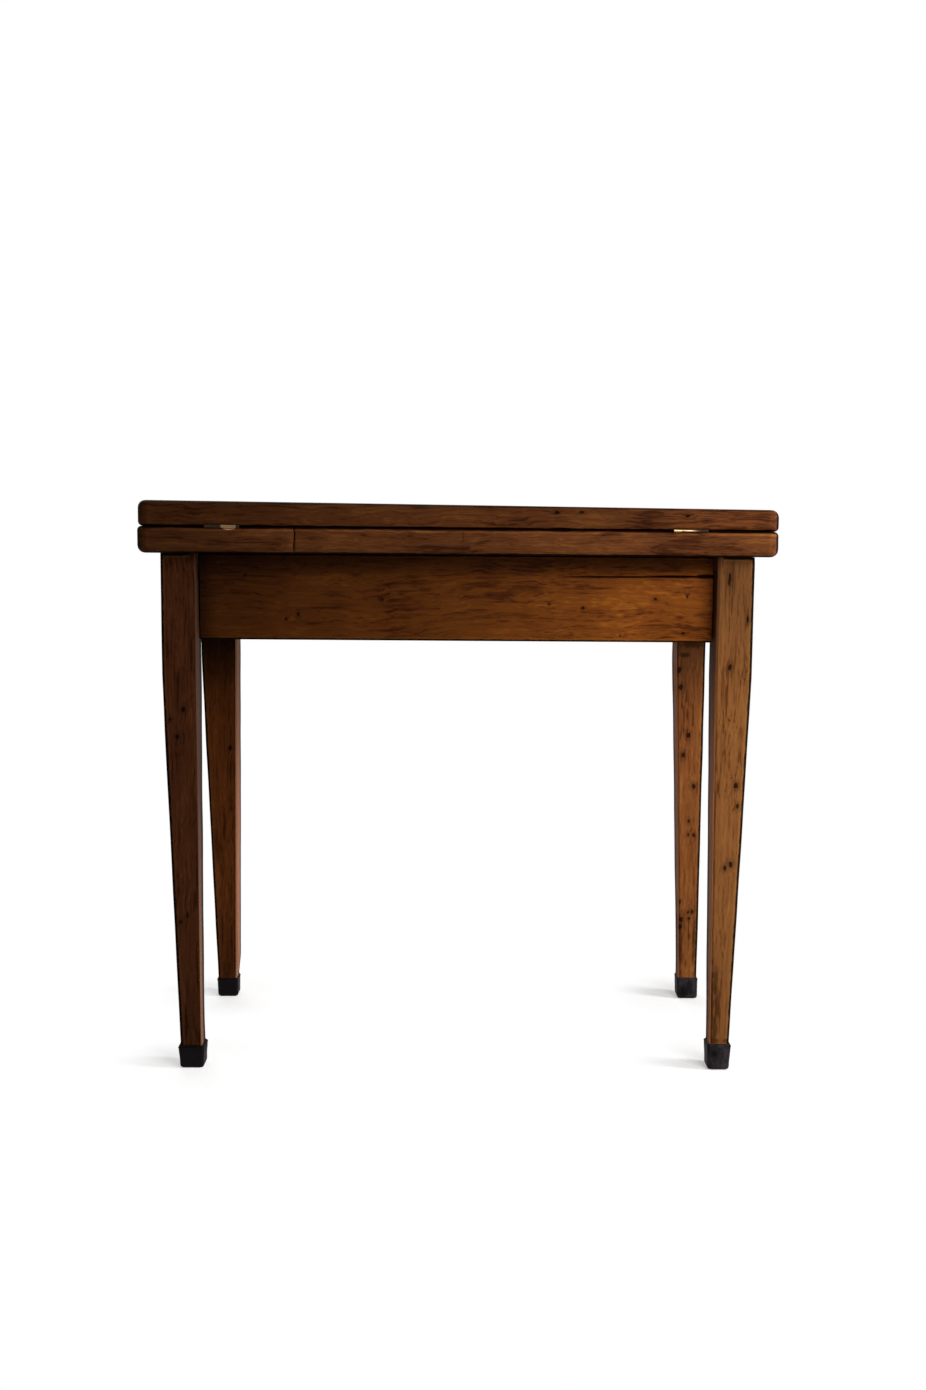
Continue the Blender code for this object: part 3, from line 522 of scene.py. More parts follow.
# What each kind of mark shows, how strongly, how far it bends the grain, and how ragged it is. Painted shades
# and crack shadows are painted shade.
mark_kinds = {"knots": ("Dark", 1.0, 0.0022, 1.6), "stains": ("Dark", 0.45, 0.0, 1.6),
              "smears": ("Core", 0.62, 0.0, 1.5), "painted_shades": ("Core", 0.5, 0.0, 0.2),
              "crack_shadows": ("Core", 1.0, 0.0, 0.6)}
clean_arris = (0.008, 0.0055)
clean_side = (0.01, 0.016)
clean_push = 0.01
arris_band = (0.005, 0.0032)
inner_band = (0.002, 0.001)
inner_share = 0.85
inner_shadow_tone = 0.06
# Painted shade: a dark line along each leaf end near the front, on the rounded end
end_outline = (0.006, 0.0034)
end_outline_back = 0.017
end_outline_full = 0.011
end_outline_tone = 0.05
chip_rim = (1.03, 0.93)


def wood_look(name, stain, grain, log_place, marks=None, edge=None, inner=None, fades=(), ends=(), rims=(),
              chip=None, streaks=0.75, clouds=1.2, curl=0.35, curl_fade=None, rubbed=0.25, grime_and_edge_shade=0.003,
              gloss=0.045):
    """A wood with its own stain and marks; log_place sets the board in another part of the log."""
    material, tree, shader, place = new_material(name)
    part = axes_of(tree, place)
    turned = {"Vector": place, "Location": log_place, "Rotation": grain_turns[grain]}
    board = add_node(tree, "Mapping", turned).outputs[0]
    knot, bend = 0.0, 0.0
    for kind, spots in (marks or {}).items():
        shown, strength, pull, ragged = mark_kinds[kind]
        for centre, reach in spots:
            spot = {"Place": place, "Centre": centre, "Reach": reach, "Ragged": ragged,
                    "Pitch": mark_pitches[grain]}
            mark = add_node(tree, "Group", spot, node_tree=mark_group)
            knot = calc(tree, "MAXIMUM", product(tree, mark.outputs[shown], strength), knot)
            if pull:
                bend = total(tree, product(tree, mark.outputs["Bend"], pull), bend)
    distance = 1.0
    if edge:
        bounds = add_node(tree, "Group", {"Place": place, **edge}, node_tree=edge_group).outputs
        distance = bounds["Distance"]
    if inner:
        inner_side, inner_light_colour, inner_light_fade, inner_shadow_band, arris_tone = inner
        from_face = axes_of(tree, bounds[inner_side])["X"]
        from_front = axes_of(tree, bounds["From low"])["Y"]
        from_back = axes_of(tree, bounds["From high"])["Y"]
        from_arris = calc(tree, "MAXIMUM", from_face, from_front)
        clean = calc(tree, "MAXIMUM", ramp(tree, from_arris, *clean_arris),
                     ramp(tree, from_front, *clean_side))
        distance = calc(tree, "MULTIPLY_ADD", clean, clean_push, distance)
    shift = 1.0
    for axis, *fade in fades:
        shift = product(tree, ramp(tree, part[axis], *fade), shift)
    # Painted shade along the leaf ends near the front
    for end_x, inward, front_y in ends:
        from_end = product(tree, minus(tree, part["X"], end_x), inward)
        outline = product(tree, ramp(tree, from_end, *end_outline),
                          ramp(tree, part["Y"], front_y + end_outline_back, front_y + end_outline_full))
        shift = product(tree, darkened(tree, outline, end_outline_tone), shift)
    # Lines along the leaves' rounded edges: painted shade, and a painted highlight under the seam
    for rim, tone in rims:
        line = add_node(tree, "Group", {"Place": place, **rim}, node_tree=rim_group).outputs["Line"]
        shift = product(tree, darkened(tree, line, tone), shift)
    if curl_fade:
        curl = product(tree, ramp(tree, part["X"], *curl_fade), curl)
    given = {"Place": board, "Bend": bend, "Knot": knot, "Edge": distance, "Fade": shift,
             "Streaks": streaks, "Clouds": clouds, "Curl": curl, "Rubbed": rubbed, "Grime and edge shade": grime_and_edge_shade}
    for tone, shares in tone_shares.items():
        given[tone] = (*(part * share for part, share in zip(stain, shares)), 1.0)
    wood = add_node(tree, "Group", given, node_tree=wood_group).outputs
    colour = wood["Colour"]
    # Painted light and shade on the legs' inner faces: a pale colour for the light and sheen on them, dimmed
    # towards the back and by height as painted shade; beside the inner arris the front face is darker.
    if inner:
        paling = product(tree, ramp(tree, from_back, *inner_shadow_band, inner_shadow_tone, 1.0),
                         ramp(tree, part["Z"], *inner_light_fade))
        pale = vector_calc(tree, "SCALE", inner_light_colour, paling)
        colour = vector_calc(tree, "SCALE", colour, ramp(tree, from_face, *arris_band, 1.0, arris_tone))
        colour = mixed(tree, ramp(tree, from_face, *inner_band, 0.0, inner_share), colour, pale)
    if chip:
        centre, reach, bare_colour = chip
        away = vector_calc(tree, "DIVIDE", vector_calc(tree, "SUBTRACT", place, centre), reach)
        chipped = ramp(tree, vector_calc(tree, "LENGTH", away), *chip_rim)
        colour = mixed(tree, chipped, colour, (*bare_colour, 1.0))
    dress(tree, shader, colour, wood["Roughness"], wood["Height"], gloss)
    return material


def by_leg(*values):
    """A value for each leg, in the order of leg_names."""
    return dict(zip(leg_names, values))


# Each leg's stain. The left legs' much darker stain is painted shade, for the light falling off towards the
# left.
leg_stains_and_painted_falloff = by_leg((0.055, 0.0155, 0.0043), (0.215, 0.08, 0.021), (0.084, 0.022, 0.0036),
                    (0.205, 0.066, 0.016))
leg_clouds = by_leg(0.7, 0.35, 1.1, 0.7)
# Each leg darker towards the bottom; the tops of the front right and back legs are darkened as painted shadow
# under the frame.
leg_fades_and_painted_shadows = by_leg(
    (("Z", 0.2, 0.05, 1.0, 0.82),),
    (("Z", 0.7, 0.5, 0.6, 1.0), ("Z", 0.3, 0.05, 1.0, 0.92)),
    (("Z", 0.59, 0.44, 0.1, 1.0), ("Z", 0.2, 0.05, 1.0, 0.72)),
    (("Z", 0.59, 0.42, 0.25, 1.0), ("Z", 0.25, 0.05, 1.0, 1.0)))
leg_streaks = by_leg(0.9, 0.7, 0.9, 0.9)
# Painted on the legs' inner faces: a pale colour for light and sheen, a fade by height and a dark band
# towards the back for shade, and how dark the front face is beside the inner arris.
inner_face_painted_light = {"left": (0.26, 0.112, 0.06), "right": (0.3, 0.105, 0.042)}
inner_face_light_fades = by_leg((0.06, 0.45, 1.0, 0.22), (0.4, 0.6, 1.0, 0.25), (0.35, 0.58, 1.6, 1.15),
                     (0.5, 0.6, 1.0, 0.5))
inner_face_shadow_bands = by_leg((0.012, 0.021), (0.01, 0.019), (0.007, 0.015), (0.01, 0.019))
arris_tones = by_leg(1.0, 0.55, 0.7, 0.45)
planing = by_leg((-0.0014, -0.0006), (0.0, 0.0), (0.0005, 0.0026), (0.001, 0.0006))
planing_top = 0.589
planing_full = 0.578
planing_end = 0.06
planing_low = 0.035
leg_log_places = by_leg((0.4, 0.09, 0.03), (1.7, 0.11, -0.02), (3.1, -0.25, 0.02),
                        (4.6, -0.24, -0.03))
leg_knots = by_leg(
    ((-0.3655, 0.497, 0.003, 0.005), (-0.383, 0.484, 0.002, 0.003), (-0.374, 0.46, 0.003, 0.004),
     (-0.364, 0.2145, 0.002, 0.003), (-0.373, 0.206, 0.002, 0.003)),
    ((0.36, 0.676, 0.0028, 0.01), (0.3632, 0.558, 0.003, 0.0065), (0.376, 0.3985, 0.0035, 0.0045),
     (0.379, 0.37, 0.0026, 0.004), (0.372, 0.29, 0.0035, 0.005), (0.364, 0.285, 0.0026, 0.004),
     (0.385, 0.623, 0.002, 0.006)),
    ((-0.35, 0.399, 0.003, 0.004),),
    ((0.347, 0.499, 0.0055, 0.006), (0.345, 0.525, 0.004, 0.0055), (0.362, 0.424, 0.0035, 0.0045),
     (0.354, 0.393, 0.0035, 0.0055), (0.372, 0.343, 0.004, 0.005), (0.366, 0.287, 0.003, 0.0045),
     (0.366, 0.266, 0.003, 0.004), (0.374, 0.265, 0.003, 0.0045), (0.3685, 0.141, 0.0036, 0.004),
     (0.357, 0.129, 0.005, 0.005), (0.357, 0.118, 0.0045, 0.0055), (0.37, 0.131, 0.0026, 0.003),
     (0.375, 0.142, 0.0026, 0.005), (0.355, 0.158, 0.003, 0.005)))
leg_dark_streaks = by_leg(
    ((-0.368, 0.06, 0.003, 0.03), (-0.352, 0.14, 0.0015, 0.04)),
    ((0.352, 0.085, 0.005, 0.08), (0.356, 0.125, 0.0044, 0.032), (0.3595, 0.092, 0.0042, 0.026),
     (0.358, 0.06, 0.004, 0.026), (0.356, 0.042, 0.009, 0.006), (0.374, 0.041, 0.006, 0.004)),
    ((-0.352, 0.09, 0.002, 0.035), (-0.347, 0.06, 0.0015, 0.025), (-0.366, 0.11, 0.0015, 0.04)),
    ((0.358, 0.085, 0.0046, 0.06), (0.379, 0.095, 0.0036, 0.07), (0.37, 0.11, 0.0012, 0.03),
     (0.353, 0.549, 0.01, 0.0044), (0.366, 0.565, 0.024, 0.007)))
knot_depth = 0.02
leg_knot_depth = 0.045
# Painted shadow on each front leg's inner face, in the corner beside the front rail's end.
front_leg_corner_shadows = by_leg([((-0.346, -0.168, 0.655), (0.0016, 0.014, 0.075))],
                     [((0.3436, -0.168, 0.655), (0.0016, 0.014, 0.075))], [], [])
leg_rubbed = 0.45
# How wide the legs' darkened edges are: grime and painted edge shade.
leg_grime_and_edge_shade = 0.004
facing_inwards = 0.3


def through_marks(face_y, kinds, depth=knot_depth):
    """Marks of each kind from where they show on a front face: x, z, half width and half height."""
    return {kind: [((x, face_y, z), (width, depth, height)) for x, z, width, height in spots]
            for kind, spots in kinds.items()}


def section_corners(shape, z):
    """The corners of a leg's section, next to a height."""
    ring = [vertex.co for vertex in shape.verts if abs(vertex.co.z - z) < merge_distance]
    low = Vector((min(point.x for point in ring), min(point.y for point in ring), 0))
    return low, Vector((max(point.x for point in ring), max(point.y for point in ring), 0))


def plane_inner_face(shape, outward, shifts):
    """Moves a leg's inner face by what the plane left or took, between the rails and the cap."""
    shape.normal_update()
    at_top, at_end = shifts
    for vertex in shape.verts:
        z = vertex.co.z
        if planing_low < z < planing_top and vertex.normal.x * outward > facing_inwards:
            share = min(1.0, (planing_top - z) / (planing_top - planing_full),
                        (z - planing_low) / (planing_end - planing_low))
            down = min(1.0, max(0.0, (planing_full - z) / (planing_full - planing_end)))
            vertex.co.x += share * (at_top + (at_end - at_top) * down)


for leg in leg_names:
    shape = merged_copy("leg_" + leg)
    toe_z, top_z = (corner.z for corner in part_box("leg_" + leg))
    knee_z = min(vertex.co.z for vertex in shape.verts if vertex.co.z > toe_z + merge_distance)
    knee_low, knee_high = section_corners(shape, top_z)
    toe_low, toe_high = section_corners(shape, toe_z)
    leg_edge = {"Low": (knee_low.x, knee_low.y, -1), "High": (knee_high.x, knee_high.y, top_z),
                "Low shift": toe_low - knee_low, "High shift": toe_high - knee_high,
                "Knee": knee_z, "Drop": knee_z - toe_z}
    slice_across(shape, 2, leg_slice)
    end = leg.split("_")[1]
    plane_inner_face(shape, 1.0 if end == "left" else -1.0, planing[leg])
    wander(shape)
    wear_edges(shape)
    inner = ("From high" if end == "left" else "From low", inner_face_painted_light[end], inner_face_light_fades[leg],
             inner_face_shadow_bands[leg], arris_tones[leg])
    spots = {"knots": leg_knots[leg], "smears": leg_dark_streaks[leg]}
    marks = through_marks(knee_low.y, spots, leg_knot_depth)
    # The corner's painted shadow goes in as a dark knot mark.
    marks["knots"] += front_leg_corner_shadows[leg]
    old_leg = wood_look("stain_leg_" + leg, leg_stains_and_painted_falloff[leg], "Z", leg_log_places[leg], marks, leg_edge, inner,
                        leg_fades_and_painted_shadows[leg], clouds=leg_clouds[leg], streaks=leg_streaks[leg], rubbed=leg_rubbed,
                        grime_and_edge_shade=leg_grime_and_edge_shade)
    settle(shape, "leg_" + leg, old_leg)


# Foot caps: black rubber cups with a rolled lip, pushed over the toes. They have gone grey
# with dust where they are scuffed; more so towards the right, which is partly painted light.
cap_slices = (0.0005, 0.0011, 0.0024, 0.0034, 0.006, 0.009, 0.012, 0.015, 0.018, 0.02, 0.022, 0.024, 0.026,
              0.0285, 0.0294)
cap_chamfer = 0.0017
cap_bottom_radius = 0.0042
cap_thickening = 0.0006
cap_flare = 0.0009
cap_flare_start_z = 0.01
cap_flare_end_z = 0.026
cap_lip_z = 0.0262
cap_top_z = 0.03
cap_top_rounding = 0.002
cap_corner_pull = 0.0012
cap_corner_power = 8
cap_swells = by_leg(1.0, 0.7, 0.0, 0.0)
rubber_colour = (0.003, 0.0012, 0.0016)
dust_colour = (0.046, 0.037, 0.042)
dust_pitch = (60.0, 60.0, 35.0)
dust_detail = 4.0
dust_roughness = 0.65
dust_span = (0.34, 0.76)
# Dust grows from left to right; this grading is partly painted light, for the brighter right caps.
dust_and_light_from_left = (-0.3, 0.3, 0.08, 1.0)
dust_relief = 0.0003
rubber_grain_pitch = (900.0, 900.0, 900.0)
rubber_grain_relief = 0.00006
rubber_roughness = (0.3, 0.7, 0.5, 0.8)
rubber_gloss = 0.09


def build_rubber():
    material, tree, shader, place = new_material("black_rubber")
    smear = stretched_noise(tree, place, dust_pitch, dust_detail, dust_roughness)
    grain = stretched_noise(tree, place, rubber_grain_pitch)
    along = axes_of(tree, place)["X"]
    dusty = product(tree, ramp(tree, smear, *dust_span), ramp(tree, along, *dust_and_light_from_left))
    colour = mixed(tree, dusty, (*rubber_colour, 1.0), (*dust_colour, 1.0))
    height = total(tree, off_middle(tree, grain, rubber_grain_relief), off_middle(tree, smear, dust_relief))
    dress(tree, shader, colour, ramp(tree, smear, *rubber_roughness), height, rubber_gloss)
    return material


def cap_outset(z, swell):
    """How far the cup's outside stands off from its plain shape: a round foot, a flare and a rolled lip."""
    foot = cap_bottom_radius - math.sqrt(cap_bottom_radius ** 2 - max(0.0, cap_bottom_radius - z) ** 2)
    flare = min(1.0, max(0.0, (z - cap_flare_start_z) / (cap_flare_end_z - cap_flare_start_z)))
    roll = max(0.0, (z - cap_lip_z) / (cap_top_z - cap_lip_z)) ** 2
    swollen = swell * (cap_thickening + cap_flare * flare ** 2 * (3 - 2 * flare))
    return swollen - foot + max(0.0, cap_chamfer - z) - cap_top_rounding * roll


black_rubber = build_rubber()
for leg in leg_names:
    cap = merged_copy("foot_cap_" + leg)
    middle = sum(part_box("foot_cap_" + leg), Vector()) / 2
    height = 2 * middle.z
    slice_at(cap, 2, [z * height / cap_top_z for z in cap_slices])
    cap.normal_update()
    pushes = []
    for vertex in cap.verts:
        outward = Vector((vertex.co.x - middle.x, vertex.co.y - middle.y, 0))
        farther = max(abs(outward.x), abs(outward.y))
        if vertex.normal.dot(outward) > 0:
            nearer = min(abs(outward.x), abs(outward.y))
            outset = cap_outset(vertex.co.z * cap_top_z / height, cap_swells[leg])
            outset -= cap_corner_pull * (nearer / farther) ** cap_corner_power
            pushes.append((vertex, outward * (outset / farther)))
    for vertex, push in pushes:
        vertex.co += push
    settle(cap, "foot_cap_" + leg, black_rubber)


# Rails: four boards on edge, tenoned into the legs. The front one has split along its grain
# near its right end, its lower corner there is rounded off, and its shoulders have shrunk.
rail_stains = {"front": (0.11, 0.0292, 0.0029), "back": (0.11, 0.028, 0.003),
               "left": (0.085, 0.022, 0.0025), "right": (0.14, 0.042, 0.007)}
rail_log_places = {"front": (0.3, 0.23, -0.56), "back": (2.2, -0.24, -0.58),
                   "left": (5.0, -0.29, -0.57), "right": (7.3, 0.44, -0.56)}
split_start = (0.11, 0.6762)
split_end = 0.3425
split_low = 0.6768
split_high = 0.6795
split_depth = 0.006
rail_front_marks = {
    "knots": ((0.265, 0.648, 0.003, 0.0028), (0.168, 0.635, 0.0026, 0.0023), (0.1225, 0.64, 0.002, 0.0018),
              (0.308, 0.652, 0.0012, 0.003), (0.3035, 0.602, 0.0028, 0.0018), (0.219, 0.598, 0.0018, 0.0015),
              (-0.214, 0.624, 0.0022, 0.003), (-0.23, 0.6175, 0.002, 0.002), (-0.102, 0.644, 0.002, 0.0018),
              (-0.285, 0.676, 0.0015, 0.0014)),
    # A painted shadow along the top of the rail's right half, under the leaves' overhang
    "painted_shades": ((0.25, 0.6955, 0.19, 0.0145),),
    # Painted shadow along and inside the split
    "crack_shadows": ((0.334, 0.6783, 0.02, 0.0036), (0.295, 0.6779, 0.05, 0.0024), (0.215, 0.677, 0.075, 0.0015))}
rail_curl = 1.1
rail_curl_fade = (0.0, 0.15, 0.15, 1.0)
rail_rubbed = 0.4
# Painted light along the front rail: darker towards the left end and brighter towards the right end, for the
# lamp's fall-off and against the right leg's shadow
rail_painted_light_fades = (("X", -0.4, 0.1, 0.38, 0.95), ("X", 0.0, 0.34, 1.0, 1.85))
# Painted shade on the front rail beside the left leg
left_leg_shade_near = 0.022
left_leg_shade_far = 0.05
left_leg_shade_tone = 0.5
# Painted shadow along each rail's top, under the leaves' overhang
overhang_shadow_near = 0.002
overhang_shadow_far = 0.036
overhang_shadow_tone = 0.6
# Painted shade on the front rail above the height of the split
above_split = 0.002
below_split = 0.001
above_split_shade_tone = 0.8
rail_slice = 0.012
facing_viewer = 0.99
face_slack = 0.0005
lost_corner = 0.005
corner_reach = 0.0015
corner_segments = 5
corner_least_length = 0.01
shoulder_gap = 0.0008
shoulder_band = 0.002


def cut_across(shape, point, normal, faces):
    """Cuts only the named faces with a plane, and gives back what they have become."""
    edges = dict.fromkeys(edge for face in faces for edge in face.edges)
    corners = dict.fromkeys(vertex for face in faces for vertex in face.verts)
    cut = bmesh.ops.bisect_plane(shape, geom=[*corners, *edges, *faces], dist=merge_distance,
                                 plane_co=point, plane_no=normal)
    return [item for item in cut["geom"] if isinstance(item, bmesh.types.BMFace)]


def open_split(shape):
    """Opens a wedge shaped split in the front rail's face, from nothing to its full width."""
    shape.normal_update()
    face_y = min(vertex.co.y for vertex in shape.verts)
    front = [face for face in shape.faces
             if face.normal.y < -facing_viewer and face.calc_center_median().y < face_y + face_slack]
    start = Vector((split_start[0], face_y, split_start[1]))
    for end_z in (split_low, split_high):
        along = Vector((split_end, face_y, end_z)) - start
        front = cut_across(shape, start, (-along.z, 0, along.x), front)
    front = cut_across(shape, Vector((split_end, 0, 0)), (1, 0, 0), front)
    wedge = []
    for face in front:
        middle = face.calc_center_median()
        share = (middle.x - start.x) / (split_end - start.x)
        low = start.z + (split_low - start.z) * share
        high = start.z + (split_high - start.z) * share
        if 0 < share < 1 and low < middle.z < high:
            wedge.append(face)
    pushed = bmesh.ops.extrude_face_region(shape, geom=wedge)["geom"]
    bottom = [item for item in pushed if isinstance(item, bmesh.types.BMVert)]
    bmesh.ops.translate(shape, vec=(0, split_depth, 0), verts=bottom)
    bmesh.ops.delete(shape, geom=[face for face in wedge if face.is_valid], context="FACES_ONLY")


def round_corner(shape, shoulder, bottom):
    """Rounds off the board's lower corner beside a shoulder, through its whole thickness."""
    corner = [edge for edge in shape.edges if edge.calc_length() > corner_least_length
              and all(abs(vertex.co.x - shoulder) < corner_reach and abs(vertex.co.z - bottom) < corner_reach
                      for vertex in edge.verts)]
    bmesh.ops.bevel(shape, geom=corner, offset=lost_corner, segments=corner_segments, affect="EDGES",
                    profile=0.5, material=-1)


def build_rail(end):
    node = "rail_" + end
    low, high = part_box(node)
    axis = 0 if end in ("front", "back") else 1
    shape = merged_copy(node)
    shape.normal_update()
    if end == "front":
        along_bottom = [vertex.co.x for vertex in shape.verts if vertex.co.z < low.z + shoulder_band]
        shoulders = (min(along_bottom), max(along_bottom))
        for vertex in shape.verts:
            for shoulder in shoulders:
                if abs(vertex.co.x - shoulder) < merge_distance:
                    vertex.co.x -= math.copysign(shoulder_gap, shoulder)
        round_corner(shape, max(shoulders) - shoulder_gap, low.z)
        open_split(shape)
    slice_across(shape, axis, rail_slice)
    wander(shape)
    wear_edges(shape)
    edge = {"Low": low, "High": high, "Knee": 0.0, "Drop": 1.0}
    marks = {}
    # Every rail gets a painted shadow along its top, under the leaves' overhang.
    fades = [("Z", high.z - overhang_shadow_near, high.z - overhang_shadow_far, overhang_shadow_tone, 1.0)]
    if end == "front":
        marks = through_marks(low.y, rail_front_marks)
        # On the front rail: painted light along its length, painted shade beside the left leg and above the
        # split.
        fades += [*rail_painted_light_fades,
                  ("X", low.x + left_leg_shade_near, low.x + left_leg_shade_far, left_leg_shade_tone, 1.0),
                  ("Z", split_high + above_split, split_low - below_split, above_split_shade_tone, 1.0)]
    look = wood_look("stain_" + node, rail_stains[end], "XY"[axis], rail_log_places[end], marks, edge,
                     fades=fades, clouds=1.0, curl=rail_curl, curl_fade=rail_curl_fade, rubbed=rail_rubbed)
    settle(shape, node, look)


for end in ("front", "back", "left", "right"):
    build_rail(end)


# Pivot bearer and card well: plain pine that nobody stained. The bearer crosses the frame and
# is stub tenoned into the long rails; the well's boards lie loose on two screwed battens.
bare_stain = (0.42, 0.25, 0.115)
bare_clouds = 0.6
bare_rubbed = 0.1
bare_gloss = 0.2
bare_slice = 0.02
bare_log_places = {"pivot_bearer": (0.2, -0.06, -0.64), "well_batten_front": (0.9, 0.18, -0.55),
                   "well_batten_back": (1.6, -0.08, -0.55), "well_board_1": (2.1, 0.15, -0.56),
                   "well_board_2": (3.0, 0.04, -0.57), "well_board_3": (4.4, -0.06, -0.565)}

for node, log_place in bare_log_places.items():
    low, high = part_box(node)
    edge = {"Low": low, "High": high, "Knee": 0.0, "Drop": 1.0}
    axis = 1 if node == "pivot_bearer" else 0
    shape = merged_copy(node)
    slice_across(shape, axis, bare_slice)
    wander(shape)
    bare = wood_look("bare_" + node, bare_stain, "XY"[axis], log_place, edge=edge, clouds=bare_clouds,
                     streaks=1.0, rubbed=bare_rubbed, gloss=bare_gloss)
    settle(shape, node, bare)


# Pivot, stop peg and steel screws: a bolt through a plate let into the lower leaf, held by a
# washer and nut under the bearer. All of it is plain steel gone dull; the peg is bare wood.
steel_colour = (0.3, 0.28, 0.26)
steel_roughness = 0.38
rust_colour = (0.09, 0.042, 0.022)
rust_span = (0.45, 0.72)
peg_log_place = (9.0, 0.2, 0.1)
film_texture = ((140.0, 140.0, 140.0), 4.0, 0.6)
film_roughness = 0.85
bare_metallic = 0.9
film_metallic = 0.1
metal_grain = ((1500.0, 1500.0, 1500.0), 1.0)
metal_relief = 0.00003
metal_gloss = 0.2
bright_rim = (0.0004, -0.0002)


def metal_look(name, colour, roughness, tarnish, film_span, bright_spans=()):
    """Metal with a duller film in patches, and everywhere beyond its bright spans, which taper in Z."""
    material, tree, shader, place = new_material(name)
    part = axes_of(tree, place)
    film = ramp(tree, stretched_noise(tree, place, *film_texture), *film_span)
    bright = 0.0 if bright_spans else 1.0
    for dull_left, bright_left, bright_right, dull_right, middle_z, left_half, right_half in bright_spans:
        inside = product(tree, ramp(tree, part["X"], dull_left, bright_left),
                         ramp(tree, part["X"], dull_right, bright_right))
        from_middle = calc(tree, "ABSOLUTE", minus(tree, part["Z"], middle_z))
        half = ramp(tree, part["X"], bright_left, dull_right, left_half, right_half)
        inside = product(tree, ramp(tree, minus(tree, from_middle, half), *bright_rim), inside)
        bright = calc(tree, "MAXIMUM", inside, bright)
    film = calc(tree, "MAXIMUM", minus(tree, 1.0, bright), film)
    roughness = ramp(tree, film, 0.0, 1.0, roughness, film_roughness)
    relief = off_middle(tree, stretched_noise(tree, place, *metal_grain), metal_relief)
    dress(tree, shader, mixed(tree, film, (*colour, 1.0), (*tarnish, 1.0)), roughness, relief, metal_gloss)
    fill_inputs(tree, shader, {"Metallic": ramp(tree, film, 0.0, 1.0, bare_metallic, film_metallic)})
    return material


dull_steel = metal_look("dull_steel", steel_colour, steel_roughness, rust_colour, rust_span)
for node in frame["nodes"]:
    if node.startswith(("pivot_plate", "pivot_bolt", "pivot_washer", "pivot_nut", "batten_screw")):
        settle(merged_copy(node), node, dull_steel)
peg_look = wood_look("bare_peg", bare_stain, "Z", peg_log_place, streaks=1.0, gloss=bare_gloss)
settle(merged_copy("stop_peg"), "stop_peg", peg_look)


# Leaves: two wide pine boards with rounded edges, stained dark. The hinged edges are planed straight,
# so that they meet when open. The lower one has a short crack across its front edge, and a chip at
# the left hinge that shows bare wood.
leaf_stains = {"lower": (0.102, 0.0308, 0.0074), "upper": (0.094, 0.0274, 0.0058)}
leaf_log_places = {"lower": (0.6, 0.08, -0.65), "upper": (2.9, 0.15, -0.68)}
leaf_clouds = {"lower": 1.0, "upper": 1.1}
leaf_fades = {"lower": (("X", -0.36, -0.25, 0.76, 1.0), ("X", -0.16, -0.06, 1.25, 1.0),
                        ("X", -0.06, 0.02, 1.0, 0.94)),
              "upper": (("X", 0.02, 0.14, 1.0, 0.78), ("X", 0.22, 0.3, 1.0, 1.42))}
# Painted light: both leaves darker towards the left end and lighter towards the right, for the lamp's
# fall-off
leaf_painted_light_fade = ("X", -0.4, 0.35, 0.5, 1.18)
leaf_curl = 0.5
leaf_slice = 0.015
leaf_front_slice = 0.003
leaf_inset_left = 0.0012
leaf_inset_reach = 0.03
leaf_settling = 0.00013
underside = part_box("lower_leaf")[0].z
seam_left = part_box("lower_leaf")[1].z
seam_right = seam_left - 0.0019
top_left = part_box("upper_leaf")[1].z
top_right = top_left - 0.0071
rim_reach = 0.003
seam_inset = 0.007
top_inset = 0.0068
underside_inset = 0.012
# Painted shade in lines along the leaves' rounded edges: the underside, the seam and the top
rim_shade_tone = 0.08
# A painted highlight along the lower leaf's rounded top edge, just under the seam
seam_highlight_tone = 1.45
seam_highlight_drop = 0.0042
leaf_rims = {"lower": ((underside, underside, rim_reach, underside_inset, rim_shade_tone),
                       (seam_left, seam_right, rim_reach, seam_inset, rim_shade_tone),
                       (seam_left - seam_highlight_drop, seam_right - seam_highlight_drop, rim_reach / 2, seam_inset,
                        seam_highlight_tone)),
             "upper": ((seam_left, seam_right, rim_reach, seam_inset, rim_shade_tone),
                       (top_left, top_right, rim_reach, top_inset, rim_shade_tone))}
front_depth = 0.0065
crack_x = -0.214
crack_half_width = 0.0006
crack_depth = 0.0026
leaf_marks = {
    "lower": {"stains": ((0.006, 0.73, 0.0015, 0.009),),
              # Painted shadow along and inside the crack across the lower leaf's front edge
              "crack_shadows": ((-0.2142, 0.7375, 0.001, 0.003), (-0.2131, 0.7315, 0.001, 0.0048),
                         (-0.2135, 0.7245, 0.001, 0.0055), (-0.2145, 0.7155, 0.001, 0.0075))},
    "upper": {"stains": ((0.245, 0.75, 0.012, 0.006),),
              "knots": ((0.128, 0.762, 0.004, 0.0025), (0.16, 0.762, 0.003, 0.002),
                        (0.298, 0.758, 0.003, 0.002))}}
crack_jitter = 0.0018
crack_wave = 0.006
chip_centre = Vector((-0.2985, -0.208, 0.7398))
chip_half_width = 0.01
chip_height = 0.004
chip_depth = 0.0016
chip_slice = 0.0014
chip_layer = 0.001
chip_mark_depth = 0.02
chip_colour = (0.8, 0.5, 0.3)


